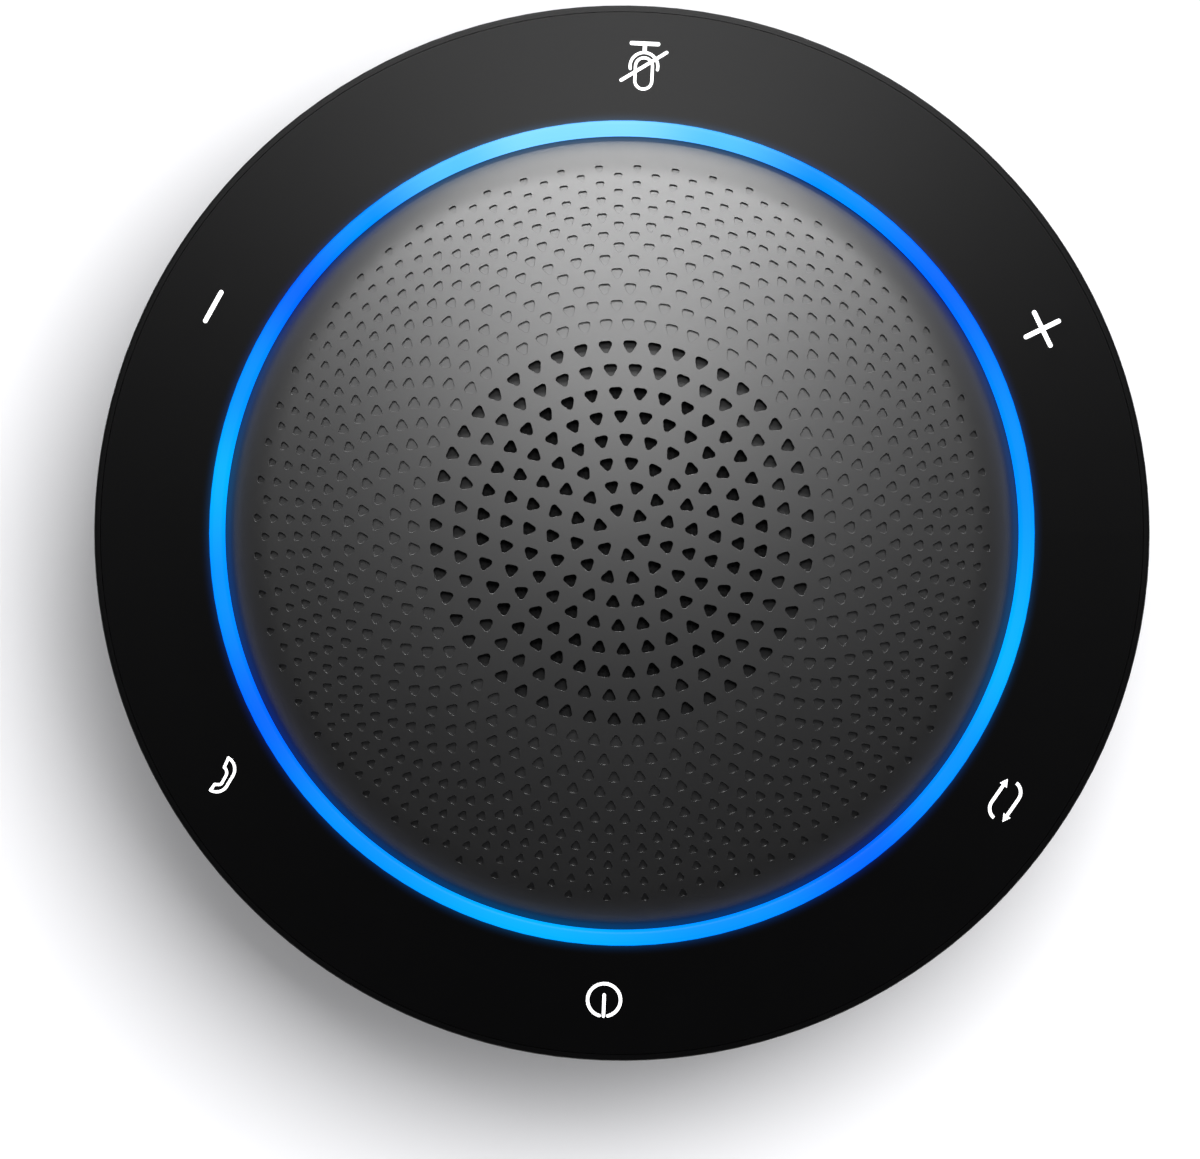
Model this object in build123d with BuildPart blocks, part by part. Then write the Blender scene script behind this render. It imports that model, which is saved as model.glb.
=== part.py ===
from build123d import *
import os
from math import asin, cos, degrees, hypot, radians, sin, sqrt, tan

# A round conference speakerphone, 36 mm tall. Millimetres, +Z up, origin on the
# table at the centre of the foot ring. +Y points at the mute icon, -Y at the
# power icon and the stored radio dongle, +X at the volume-up icon.

# ---- Overall sizes -------------------------------------------------------------
overall_diameter = 104.0
overall_height = 36.0
base_diameter = 82.0  # underside of the tapered wall
foot_lift = 0.8  # gap between the table and the base shell
fit_gap = 0.05  # seams between fixed pieces
slide_clearance = 0.25  # all round the stored dongle

# ---- Grille dome ---------------------------------------------------------------
dome_cap_rise = 6.1  # rise of the wide spherical cap above its rolled edge
dome_edge_roll = 4.5  # radial width of the rolled edge
dome_edge_slope = 55.0  # slope where the roll meets the light ring, degrees
dome_wall = 1.4
hole_pitch = 2.285  # radial step of the hole rings
through_rings = 6
blind_rings = 2
hole_circumradius = 1.0
hole_rounding = 0.3
blind_depth = 0.9
hole_cut = 4.0  # cutters reach this far past the wall or the blind depth
hole_phase = 102.6  # angle from +X of the spoke that every ring shares
mesh_thickness = 0.3
mesh_margin = 2.0

# ---- Light ring and control band -----------------------------------------------
light_ring_width = 1.4
light_ring_height = 6.0
light_ring_rise = 0.8  # above the dome's edge
light_round = 0.3
light_flange_height = 1.2
light_flange_inner = 1.1  # how far the flange reaches inside the ring
light_flange_outer = 0.4
ring_gap = 0.1
band_width = 10.75
band_rise = 0.45  # inner edge of the band above the dome's edge
band_slope = 14.0  # degrees down towards the rim
band_thickness = 1.5
touch_film = 0.3
lip_width = 0.6
lip_rise = 0.05
lip_inner_round = 0.1
lip_outer_round = 0.3
icon_depth = 0.5
icon_stroke = 0.33
icon_cut = 8.0  # how far an icon's stroke is carried down before it is trimmed
power_bearing = 182.2  # icons' clockwise bearings from +Y
volume_up_bearing = 64.1
volume_down_bearing = 299.0
pair_bearing = 124.9
call_bearing = 238.8
mute_bearing = 2.7
power_ring = 1.62
power_ring_start = 105
power_ring_sweep = 330
power_bar = 2.1
power_bar_lift = 0.55

# ---- Housings ------------------------------------------------------------------
side_band = 6.2  # height of the upper housing's outer wall
rim_wall = 2.0
shelf_thickness = 1.2
seam_step = 1.2  # the base wall starts this far inside the rim
seam_round = 0.8
wall_bulge = 1.6  # how far the side's arc stands off its chord
base_round = 1.0
base_wall = 2.0
base_floor = 2.0
deck_thickness = 1.8
slot_wall = 1.5
dome_seat_wall = 1.5
dome_seat_gap = 0.2
dome_seat_height = 2.0  # above the light ring's flange
foot_inner = 30.0
foot_outer = 36.0
foot_groove = 0.8
foot_round = 0.3
post_radius = 3.0
post_circle = 33.0
post_count = 4
post_turn = 45
screw_radius = 1.1
screw_play = 0.1  # round a screw in its hole
screw_head_radius = 1.9
screw_head_height = 1.6
screw_seat = 2.0  # depth of the counterbore above the foot groove
screw_bite = 5.0  # thread length in the upper posts
drive_slot = 0.5  # width of a cross recess
drive_depth = 0.7
drive_reach = 1.3  # length of a cross recess, as a share of the head's radius

# ---- Light board ---------------------------------------------------------------
led_board_thickness = 1.0
led_height = 0.9
led_gap = 0.3
led_count = 24
led_length = 2.0
led_width = 1.6

# ---- Loudspeaker ---------------------------------------------------------------
driver_diameter = 45.0
driver_drop = 9.0  # flange face below the dome's top
flange_thickness = 1.2
flange_ring = 4.9  # radial width of the flange
gasket_thickness = 0.5
gasket_width = 2.6
driver_screw_count = 4
driver_screw_inset = 2.0
driver_screw_radius = 0.8
driver_screw_head = 1.5
driver_screw_head_height = 0.9
driver_screw_length = 5.0
seat_lip = 1.5  # speaker seat outside the flange
basket_wall = 1.0
basket_clearance = 0.5
frame_depth = 8.6  # flange face to the underside of the frame
frame_floor = 1.0
frame_floor_inner = 11.0
frame_foot_radius = 15.4
spider_ledge_inner = 13.2
spider_drop = 5.6  # flange face to the spider's ledge
ledge_rim = 0.6  # frame's straight side ends this far under the ledge
window_width = 12.0
window_margin = 0.6  # above the spider's ledge and under the flange
window_reach = 8.0  # radial length of each window's cutter
plate_radius = 14.6
plate_thickness = 1.6
magnet_inner = 9.2
magnet_outer = 14.9
magnet_height = 3.4
yoke_thickness = 1.8
pole_radius = 5.9
pole_vent = 1.5
pole_rise = 0.2
former_inner = 6.25
former_wall = 0.15
former_below = 2.2  # former's lower edge under the middle of the top plate
former_top_drop = 3.8
coil_wall = 0.4
coil_half_height = 2.2
gap_bore = 7.15
spider_thickness = 0.35
spider_gap = 0.3  # to the inside of the frame
cone_rim = 1.1  # flat edge that the surround is glued to
cone_lap = 0.8  # cone's edge beyond the surround's inner glue line
surround_inset = 0.2  # half roll to the flange's inner edge
moving_gap = 0.05  # glue lines between fixed and moving pieces
cone_drop = 1.6
cone_depth = 2.8
cone_wall = 0.4
surround_width = 1.9  # radius of the half roll
surround_wall = 0.3
surround_glue = 1.1
cap_rise = 1.8
cap_lap = 1.2  # dust cap's edge outside the former
lug_gap = 0.4  # to the bore in the deck
lug_width = 5.0
lug_thickness = 0.8
lug_root = 2.0  # overlap with the frame before it is cut to its round side
lead_radius = 0.35
lead_half = 1.5  # each lead from the middle of the lug

# ---- Electronics ---------------------------------------------------------------
board_thickness = 1.6
board_inner = 16.8
board_clearance = 1.5
board_height = 11.0  # underside above the table
port_width = 8.94
port_height = 3.26
port_length = 7.35
port_shell = 0.3
port_recess = 0.9
port_back = 1.2  # solid end of the port
port_cut = 4.0  # opening is cut from this far inside the board's edge
port_clearance = 0.35
tongue_thickness = 0.7
tongue_width = 6.7
tongue_recess = 0.6
battery_length = 50.0
battery_width = 34.0
battery_thickness = 6.0
battery_corner = 1.8
connector_inset = 1.0
connector_half = 3.0
pad_thickness = 0.6
pad_inset = 2.0
processor_size = 10.0
processor_height = 1.2
amplifier_size = 5.0
amplifier_height = 1.0
module_length = 16.0
module_width = 12.0
module_board = 0.8
shield_height = 1.8
shield_inset = 1.0
shield_wall = 0.3
capacitor_radius = 2.4
capacitor_front_x = 10.0
capacitor_rear_x = 12.0
capacitor_rear_shift = 2.0
capacitor_clearance = 0.6  # to the deck above
mic_radius = 1.5
mic_port_radius = 0.5
mic_boot_length = 2.0
mic_bearings = (45, 135, 225, 315)  # from +X
mic_board_wide = 3.6
mic_board_tall = 2.8
mic_board_thickness = 0.8
mic_can_height = 0.9
mic_can_wide = 2.6
mic_can_tall = 2.2
mic_lift = 0.1  # boots clear of the seam

# ---- Radio dongle --------------------------------------------------------------
plug_width = 12.0
plug_height = 4.5
plug_length = 11.3
plug_shell = 0.3
plug_window_long = 2.5
plug_window_wide = 2.1
plug_window_spacing = 5.6
plug_window_inset = 6.0
plug_corner = 0.4
plug_set_in = 2.0  # end of the shell short of the cap
plug_tongue_recess = 0.6
plug_tongue_height = 1.9
dongle_body_width = 14.1
dongle_cap_width = 15.1
dongle_thickness = 6.4
dongle_length = 9.2  # body and cap together
dongle_cap_length = 3.6
dongle_seam_sag = 0.9
dongle_recess = 0.3
dongle_round = 0.8
dongle_end_round = 0.6
dongle_cap_wall = 1.6
dongle_board_inset = 0.5
dongle_board_end = 2.2
dongle_board_half = 0.4
dongle_radio_half = 2.0
dongle_radio_inset = 0.4
dongle_radio_height = 0.9
bay_wall = 1.0
bay_end_clearance = 0.6
contact_width = 1.0
contact_thickness = 0.15
contact_spacing = 2.3
contact_count = 4
contact_setback = 3.0

# ---- Worked-out heights and radii -----------------------------------------------
rim_radius = overall_diameter / 2
band_outer = rim_radius - lip_width - fit_gap
band_inner = band_outer - band_width
icon_radius = (band_inner + band_outer) / 2
light_outer = band_inner - ring_gap
light_inner = light_outer - light_ring_width
dome_radius = light_inner - ring_gap
cap_edge = dome_radius - dome_edge_roll
dome_cap_radius = (cap_edge**2 + dome_cap_rise**2) / (2 * dome_cap_rise)
cap_angle = asin(cap_edge / dome_cap_radius)
roll_radius = dome_edge_roll / (sin(radians(dome_edge_slope)) - sin(cap_angle))
cap_centre_z = overall_height - dome_cap_radius
roll_centre_r = cap_edge - roll_radius * sin(cap_angle)
roll_centre_z = cap_centre_z + (dome_cap_radius - roll_radius) * cos(cap_angle)
dome_edge_z = roll_centre_z + roll_radius * cos(radians(dome_edge_slope))
skirt_inner = dome_radius - dome_wall
light_top = dome_edge_z + light_ring_rise
light_bottom = light_top - light_ring_height
flange_top_z = light_bottom + light_flange_height
band_inner_z = dome_edge_z + band_rise
led_board_top = light_bottom - led_gap - led_height
deck_top = led_board_top - led_board_thickness
deck_bottom = deck_top - deck_thickness
slot_radius = light_outer + light_flange_outer + ring_gap
seat_outer = skirt_inner - dome_seat_gap
seat_inner = seat_outer - dome_seat_wall
seat_top = flange_top_z + dome_seat_height


def band_z(r):
    """Height of the control band's upper face at radius r."""
    return band_inner_z - (r - band_inner) * tan(radians(band_slope))


def cap_z(r, depth=0.0):
    """Height of the dome's cap at radius r, this deep under its surface."""
    return cap_centre_z + sqrt((dome_cap_radius - depth) ** 2 - r**2)


lip_top = band_z(rim_radius - lip_width) + lip_rise
lip_outer_z = lip_top - lip_width * tan(radians(band_slope))
seam_z = lip_top - side_band
seam_radius = rim_radius - seam_step
shelf_drop = band_thickness + touch_film
base_radius = base_diameter / 2
wall_run = seam_radius - base_radius
wall_height = seam_z - foot_lift
wall_chord = hypot(wall_run, wall_height)
wall_arc = (wall_chord**2 / 4 + wall_bulge**2) / (2 * wall_bulge)
wall_inset = (wall_arc - wall_bulge) / wall_chord
wall_centre_r = (base_radius + seam_radius) / 2 - wall_inset * wall_height
wall_centre_z = (foot_lift + seam_z) / 2 + wall_inset * wall_run


def wall_radius(z, depth=0.0):
    """Radius of the base's curved side at height z, this deep inside the wall."""
    return wall_centre_r + sqrt((wall_arc - depth) ** 2 - (z - wall_centre_z) ** 2)


floor_top = foot_lift + base_floor
board_top = board_height + board_thickness
board_outer = wall_radius(board_height, base_wall) - board_clearance
flange_radius = driver_diameter / 2
flange_face = overall_height - driver_drop
flange_back = flange_face - flange_thickness
flange_inner = flange_radius - flange_ring
driver_seat = flange_back - gasket_thickness
driver_screw_circle = flange_radius - driver_screw_inset
basket_top_radius = flange_inner + basket_wall
driver_bore = basket_top_radius + basket_clearance
frame_bottom = flange_face - frame_depth
ledge_z = flange_face - spider_drop
plate_bottom = frame_bottom - plate_thickness
magnet_bottom = plate_bottom - magnet_height
yoke_bottom = magnet_bottom - yoke_thickness
coil_z = frame_bottom - plate_thickness / 2
roll_mid = flange_inner - surround_inset - surround_width
glue_line = roll_mid - surround_width
cone_outer = glue_line + cone_lap
former_outer = former_inner + former_wall
port_mid = board_top + port_height / 2
port_mouth = wall_radius(port_mid) - port_recess
bay_width = dongle_cap_width + 2 * slide_clearance
bay_height = dongle_thickness + 2 * slide_clearance
dongle_mid = floor_top + bay_height / 2
dongle_front = wall_radius(dongle_mid) - dongle_recess
plug_root = dongle_front - dongle_length
plug_tip = plug_root - plug_length
bay_back = plug_tip - bay_end_clearance
mic_z = seam_z + mic_radius + mic_lift


def revolve_points(points):
    """Turn a closed outline of (radius, height) points about the Z axis."""
    with BuildSketch(Plane.XZ) as outline:
        with BuildLine():
            Polyline(*points, close=True)
        make_face()
    return revolve(outline.sketch, axis=Axis.Z)


def ring(inner, outer, bottom, top):
    """A plain ring between two radii and two heights."""
    with BuildSketch(Plane.XY.offset(bottom)) as outline:
        Circle(outer)
        if inner > 0:
            Circle(inner, mode=Mode.SUBTRACT)
    return extrude(outline.sketch, amount=top - bottom)


def block(x0, x1, y0, y1, z0, z1, mode=Mode.ADD):
    """A box between two corners."""
    with BuildSketch(Plane.XY.offset(z0)) as outline:
        with Locations(((x0 + x1) / 2, (y0 + y1) / 2)):
            Rectangle(x1 - x0, y1 - y0)
    return extrude(outline.sketch, amount=z1 - z0, mode=mode)


def dome_section(depth):
    """Cap and rolled edge of the dome, this deep under its surface, as two arcs."""
    cap_degrees = 90 - degrees(cap_angle)
    edge_r = dome_radius if depth == 0 else skirt_inner
    edge_angle = asin((edge_r - roll_centre_r) / (roll_radius - depth))
    edge_degrees = 90 - degrees(edge_angle)
    CenterArc((0, cap_centre_z), dome_cap_radius - depth, cap_degrees, 90 - cap_degrees)
    CenterArc(
        (roll_centre_r, roll_centre_z), roll_radius - depth, edge_degrees, cap_degrees - edge_degrees
    )
    return (edge_r, roll_centre_z + (roll_radius - depth) * cos(edge_angle))


os.makedirs("parts", exist_ok=True)

# ==== Control band, its icons and the touch film ==================================

with BuildPart() as band_blank:
    revolve_points(
        [
            (band_inner, band_z(band_inner)),
            (band_outer, band_z(band_outer)),
            (band_outer, band_z(band_outer) - band_thickness),
            (band_inner, band_z(band_inner) - band_thickness),
        ]
    )

with BuildPart() as inlay_layer:
    revolve_points(
        [
            (band_inner, band_z(band_inner)),
            (band_outer, band_z(band_outer)),
            (band_outer, band_z(band_outer) - icon_depth),
            (band_inner, band_z(band_inner) - icon_depth),
        ]
    )


def icon_plane(clockwise, upright=False):
    """A plane over the band, with +Y outward, or as the device is seen from above."""
    angle = radians(clockwise)
    across = (1, 0, 0) if upright else (cos(angle), -sin(angle), 0)
    spot = (icon_radius * sin(angle), icon_radius * cos(angle), light_top + 1)
    return Plane(origin=spot, x_dir=across, z_dir=(0, 0, 1))


def inlay(sketch):
    """Carry an icon's strokes down into the upper layer of the band."""
    extrude(sketch, amount=-(band_thickness + icon_cut))
    add(inlay_layer.part, mode=Mode.INTERSECT)


with BuildPart() as power_icon:
    with BuildSketch(icon_plane(power_bearing)) as strokes:
        with BuildLine(mode=Mode.PRIVATE) as circle_line:
            CenterArc((0, 0), power_ring, power_ring_start, power_ring_sweep)
        SlotArc(circle_line.wire(), icon_stroke)
        with Locations((0, power_bar_lift)):
            SlotCenterToCenter(power_bar, icon_stroke, rotation=90)
    inlay(strokes.sketch)
power_icon.part.label = "power_icon"

plus_length = 3.6
volume_stroke = 0.46
with BuildPart() as volume_up_icon:
    with BuildSketch(icon_plane(volume_up_bearing)) as strokes:
        SlotCenterToCenter(plus_length, volume_stroke)
        SlotCenterToCenter(plus_length, volume_stroke, rotation=90)
    inlay(strokes.sketch)
volume_up_icon.part.label = "volume_up_icon"

minus_length = 3.2
with BuildPart() as volume_down_icon:
    with BuildSketch(icon_plane(volume_down_bearing)) as strokes:
        SlotCenterToCenter(minus_length, volume_stroke)
    inlay(strokes.sketch)
volume_down_icon.part.label = "volume_down_icon"

pair_offset = 1.01
pair_bend = 1.18
pair_straight = 0.86
pair_head_tip = 1.89
pair_head_base = 1.11
pair_head_half = 0.43
with BuildSketch() as pair_arrow:
    with BuildLine(mode=Mode.PRIVATE) as arrow_line:
        Line((-pair_head_base, -pair_offset), (pair_straight, -pair_offset))
        CenterArc((pair_straight, pair_bend - pair_offset), pair_bend, -90, 85)
    trace(arrow_line.edges(), icon_stroke)
    with BuildLine(mode=Mode.PRIVATE) as head_line:
        Polyline(
            (-pair_head_tip, -pair_offset),
            (-pair_head_base, -pair_offset - pair_head_half),
            (-pair_head_base, -pair_offset + pair_head_half),
            close=True,
        )
    make_face(head_line.edges())

with BuildPart() as pair_icon:
    with BuildSketch(icon_plane(pair_bearing)) as strokes:
        add(pair_arrow.sketch)
        add(pair_arrow.sketch, rotation=180)
    inlay(strokes.sketch)
pair_icon.part.label = "pair_icon"

handset_stroke = 0.29
with BuildPart() as call_icon:
    with BuildSketch(icon_plane(call_bearing, upright=True)) as strokes:
        with BuildLine(mode=Mode.PRIVATE) as handset_line:
            ThreePointArc((0.62, 1.7), (1.2, 0.9), (1.06, -0.05))
            Line((1.06, -0.05), (0.52, -0.93))
            ThreePointArc((0.52, -0.93), (-0.15, -1.57), (-1.18, -1.49))
            Polyline((-1.18, -1.49), (-0.76, -0.91), (-0.36, -0.93))
            ThreePointArc((-0.36, -0.93), (-0.12, -0.86), (0.02, -0.67))
            Line((0.02, -0.67), (0.33, -0.12))
            ThreePointArc((0.33, -0.12), (0.44, 0.3), (0.2, 0.76))
            Line((0.2, 0.76), (0.62, 1.7))
        handset = make_face(handset_line.edges(), mode=Mode.PRIVATE)
        offset(handset, amount=handset_stroke / 2)
        offset(handset, amount=-handset_stroke / 2, mode=Mode.SUBTRACT)
    inlay(strokes.sketch)
call_icon.part.label = "call_icon"

stand_bar_y = 2.26
stand_bar_length = 2.6
stand_bar_stroke = 0.4
yoke_arch_radius = 1.37
capsule_mid_y = -0.71
capsule_spacing = 1.43
capsule_width = 1.68
slash_length = 5.25
slash_angle = 34.1
mic_stroke = 0.29
with BuildPart() as mute_icon:
    with BuildSketch(icon_plane(mute_bearing)) as strokes:
        with Locations((0, stand_bar_y)):
            SlotCenterToCenter(stand_bar_length, stand_bar_stroke)
        with Locations((0, (stand_bar_y + yoke_arch_radius) / 2)):
            Rectangle(stand_bar_stroke, stand_bar_y - yoke_arch_radius)
        with BuildLine(mode=Mode.PRIVATE) as arch_line:
            CenterArc((0, 0), yoke_arch_radius, -12, 204)
        SlotArc(arch_line.wire(), mic_stroke)
        with Locations((0, capsule_mid_y)):
            SlotCenterToCenter(capsule_spacing, capsule_width + mic_stroke, rotation=90)
            SlotCenterToCenter(
                capsule_spacing, capsule_width - mic_stroke, rotation=90, mode=Mode.SUBTRACT
            )
        SlotCenterToCenter(slash_length, icon_stroke, rotation=slash_angle)
    inlay(strokes.sketch)
mute_icon.part.label = "mute_icon"

icons = [mute_icon, volume_up_icon, pair_icon, power_icon, call_icon, volume_down_icon]

with BuildPart() as control_ring:
    add(band_blank.part)
    for icon in icons:
        add(icon.part, mode=Mode.SUBTRACT)
control_ring.part.label = "control_ring"

with BuildPart() as touch_sensor:
    revolve_points(
        [
            (slot_radius, band_z(slot_radius) - band_thickness),
            (band_outer, band_z(band_outer) - band_thickness),
            (band_outer, band_z(band_outer) - shelf_drop),
            (slot_radius, band_z(slot_radius) - shelf_drop),
        ]
    )
touch_sensor.part.label = "touch_sensor"

# ==== Light ring, its board and its lamps =========================================

with BuildPart() as light_ring:
    ring(light_inner, light_outer, light_bottom, light_top)
    ring(
        light_inner - light_flange_inner,
        light_outer + light_flange_outer,
        light_bottom,
        flange_top_z,
    )
    fillet(light_ring.edges().group_by(Axis.Z)[-1], light_round)
light_ring.part.label = "light_ring"

led_circle = (light_inner + light_outer) / 2
with BuildPart() as led_board:
    ring(seat_outer + ring_gap, slot_radius - ring_gap, deck_top, led_board_top)
led_board.part.label = "led_board"

with BuildPart() as leds:
    with BuildSketch(Plane.XY.offset(led_board_top)):
        with PolarLocations(led_circle, led_count):
            Rectangle(led_width, led_length)
    extrude(amount=led_height)
leds.part.label = "leds"

# ==== Grille dome and the mesh under its holes ====================================


def hole_outlines(first, last):
    """Rounded triangles in rings of 6n holes, each with a corner towards the axis."""
    for n in range(first, last + 1):
        with PolarLocations(hole_pitch * n, 6 * n, start_angle=hole_phase):
            add(hole_shape.sketch)


with BuildSketch() as hole_shape:
    RegularPolygon(hole_circumradius, 3, rotation=180)
    fillet(hole_shape.vertices(), hole_rounding)

with BuildPart() as grille_dome:
    with BuildSketch(Plane.XZ):
        with BuildLine():
            outer_edge = dome_section(0)
            inner_edge = dome_section(dome_wall)
            Polyline(outer_edge, (dome_radius, flange_top_z), (skirt_inner, flange_top_z), inner_edge)
            Line((0, overall_height), (0, overall_height - dome_wall))
        make_face()
    revolve(axis=Axis.Z)
    with BuildSketch(Plane.XY.offset(cap_z(0) + 1)) as through_holes:
        hole_outlines(1, through_rings)
    extrude(amount=-(dome_wall + hole_cut), mode=Mode.SUBTRACT)
    for n in range(through_rings + 1, through_rings + blind_rings + 1):
        with BuildSketch(Plane.XY.offset(cap_z(hole_pitch * n) - blind_depth)) as blind_holes:
            hole_outlines(n, n)
        extrude(amount=blind_depth + hole_cut, mode=Mode.SUBTRACT)
grille_dome.part.label = "grille_dome"

mesh_radius = hole_pitch * through_rings + hole_circumradius + mesh_margin
with BuildPart() as acoustic_mesh:
    with BuildSketch(Plane.XZ):
        with BuildLine():
            for depth in (dome_wall, dome_wall + mesh_thickness):
                RadiusArc(
                    (0, cap_z(0, depth)),
                    (mesh_radius, cap_z(mesh_radius, depth)),
                    dome_cap_radius - depth,
                )
            Line(
                (mesh_radius, cap_z(mesh_radius, dome_wall)),
                (mesh_radius, cap_z(mesh_radius, dome_wall + mesh_thickness)),
            )
            Line((0, cap_z(0, dome_wall)), (0, cap_z(0, dome_wall + mesh_thickness)))
        make_face()
    revolve(axis=Axis.Z)
acoustic_mesh.part.label = "acoustic_mesh"

# ==== Upper housing ===============================================================


def mic_plane(angle, reach):
    """Upright plane across a microphone's axis, this far from the device's axis."""
    outward = (cos(radians(angle)), sin(radians(angle)), 0)
    return Plane(origin=(0, 0, mic_z), x_dir=(0, 0, 1), z_dir=outward).offset(reach)


with BuildPart() as upper_housing:
    revolve_points(
        [
            (rim_radius, seam_z),
            (rim_radius, lip_outer_z),
            (rim_radius - lip_width, lip_top),
            (rim_radius - lip_width, band_z(rim_radius - lip_width) - shelf_drop),
            (slot_radius, band_z(slot_radius) - shelf_drop),
            (slot_radius, deck_top),
            (seat_outer, deck_top),
            (seat_outer, seat_top),
            (seat_inner, seat_top),
            (seat_inner, deck_top),
            (flange_radius + seat_lip, deck_top),
            (flange_radius + seat_lip, driver_seat),
            (driver_bore, driver_seat),
            (driver_bore, deck_bottom),
            (slot_radius + slot_wall, deck_bottom),
            (
                slot_radius + slot_wall,
                band_z(slot_radius + slot_wall) - shelf_drop - shelf_thickness,
            ),
            (rim_radius - rim_wall, band_z(rim_radius - rim_wall) - shelf_drop - shelf_thickness),
            (rim_radius - rim_wall, seam_z),
        ]
    )
    fillet(upper_housing.edges().group_by(Axis.Z)[-1], lip_inner_round)
    lip_edges = upper_housing.edges().filter_by_position(Axis.Z, lip_outer_z - 0.01, lip_outer_z + 0.01)
    fillet(lip_edges.sort_by(SortBy.RADIUS)[-1], lip_outer_round)
    seam_edges = upper_housing.edges().filter_by_position(Axis.Z, seam_z - 0.01, seam_z + 0.01)
    fillet(seam_edges.sort_by(SortBy.RADIUS)[-1], seam_round)
    with BuildSketch(Plane.XY.offset(board_top)):
        with PolarLocations(post_circle, post_count, start_angle=post_turn):
            Circle(post_radius)
    extrude(amount=deck_bottom - board_top)
    with BuildSketch(Plane.XY.offset(board_top)):
        with PolarLocations(post_circle, post_count, start_angle=post_turn):
            Circle(screw_radius)
    extrude(amount=screw_bite, mode=Mode.SUBTRACT)
    with BuildSketch(Plane.XY.offset(driver_seat)):
        with PolarLocations(driver_screw_circle, driver_screw_count):
            Circle(driver_screw_radius)
    extrude(amount=-driver_screw_length, mode=Mode.SUBTRACT)
    for angle in mic_bearings:
        with BuildSketch(mic_plane(angle, rim_radius - 2 * rim_wall)):
            Circle(mic_port_radius)
        extrude(amount=3 * rim_wall, mode=Mode.SUBTRACT)
upper_housing.part.label = "upper_housing"

# ==== Microphones behind their ports ==============================================

boot_outer = sqrt((rim_radius - rim_wall) ** 2 - mic_radius**2)
boot_inner = boot_outer - mic_boot_length
with BuildPart() as mic_boots:
    for angle in mic_bearings:
        with BuildSketch(mic_plane(angle, boot_inner)):
            Circle(mic_radius)
            Circle(mic_port_radius, mode=Mode.SUBTRACT)
        extrude(amount=mic_boot_length)
mic_boots.part.label = "mic_boots"

with BuildPart() as mic_boards:
    for angle in mic_bearings:
        with BuildSketch(mic_plane(angle, boot_inner)):
            Rectangle(mic_board_tall, mic_board_wide)
        extrude(amount=-mic_board_thickness)
        with BuildSketch(mic_plane(angle, boot_inner - mic_board_thickness)):
            Rectangle(mic_can_tall, mic_can_wide)
        extrude(amount=-mic_can_height)
mic_boards.part.label = "mic_boards"

# ==== Loudspeaker =================================================================

with BuildPart() as speaker_gasket:
    ring(flange_radius - gasket_width, flange_radius, driver_seat, flange_back)
    with BuildSketch(Plane.XY.offset(driver_seat)):
        with PolarLocations(driver_screw_circle, driver_screw_count):
            Circle(driver_screw_radius)
    extrude(amount=gasket_thickness, mode=Mode.SUBTRACT)
speaker_gasket.part.label = "speaker_gasket"

with BuildPart() as speaker_basket:
    revolve_points(
        [
            (frame_floor_inner, frame_bottom),
            (frame_foot_radius, frame_bottom),
            (frame_foot_radius, ledge_z - ledge_rim),
            (basket_top_radius, flange_back),
            (flange_radius, flange_back),
            (flange_radius, flange_face),
            (flange_inner, flange_face),
            (flange_inner, flange_back),
            (frame_foot_radius - basket_wall, ledge_z),
            (spider_ledge_inner, ledge_z),
            (spider_ledge_inner, frame_bottom + frame_floor),
            (frame_floor_inner, frame_bottom + frame_floor),
        ]
    )
    with BuildSketch(Plane.XY.offset(ledge_z + window_margin)):
        with PolarLocations((frame_foot_radius + basket_top_radius) / 2, 4, start_angle=45):
            Rectangle(window_reach, window_width)
    extrude(amount=flange_back - ledge_z - 2 * window_margin, mode=Mode.SUBTRACT)
    with BuildSketch(Plane.XY.offset(flange_face)):
        with PolarLocations(driver_screw_circle, driver_screw_count):
            Circle(driver_screw_radius)
    extrude(amount=-flange_thickness, mode=Mode.SUBTRACT)
speaker_basket.part.label = "speaker_basket"

with BuildPart() as speaker_screws:
    with PolarLocations(driver_screw_circle, driver_screw_count):
        add(
            Solid.make_cylinder(
                driver_screw_head, driver_screw_head_height, Plane.XY.offset(flange_face)
            )
        )
        add(
            Solid.make_cylinder(
                driver_screw_radius,
                driver_screw_length,
                Plane.XY.offset(flange_face - driver_screw_length),
            )
        )
    with BuildSketch(Plane.XY.offset(flange_face + driver_screw_head_height)):
        with PolarLocations(driver_screw_circle, driver_screw_count):
            Rectangle(drive_slot, drive_reach * driver_screw_head)
            Rectangle(drive_reach * driver_screw_head, drive_slot)
    extrude(amount=-drive_depth, mode=Mode.SUBTRACT)
speaker_screws.part.label = "speaker_screws"

with BuildPart() as speaker_top_plate:
    ring(gap_bore, plate_radius, plate_bottom, frame_bottom)
speaker_top_plate.part.label = "speaker_top_plate"

with BuildPart() as speaker_magnet:
    ring(magnet_inner, magnet_outer, magnet_bottom, plate_bottom)
speaker_magnet.part.label = "speaker_magnet"

with BuildPart() as speaker_yoke:
    ring(0, plate_radius, yoke_bottom, magnet_bottom)
    ring(0, pole_radius, magnet_bottom, frame_bottom + pole_rise)
    with BuildSketch(Plane.XY.offset(yoke_bottom)):
        Circle(pole_vent)
    extrude(amount=frame_bottom + pole_rise - yoke_bottom, mode=Mode.SUBTRACT)
speaker_yoke.part.label = "speaker_yoke"

former_top = flange_face - former_top_drop
with BuildPart() as coil_former:
    ring(former_inner, former_outer, coil_z - former_below, former_top)
coil_former.part.label = "coil_former"

with BuildPart() as voice_coil:
    ring(former_outer, former_outer + coil_wall, coil_z - coil_half_height, coil_z + coil_half_height)
voice_coil.part.label = "voice_coil"

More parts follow.
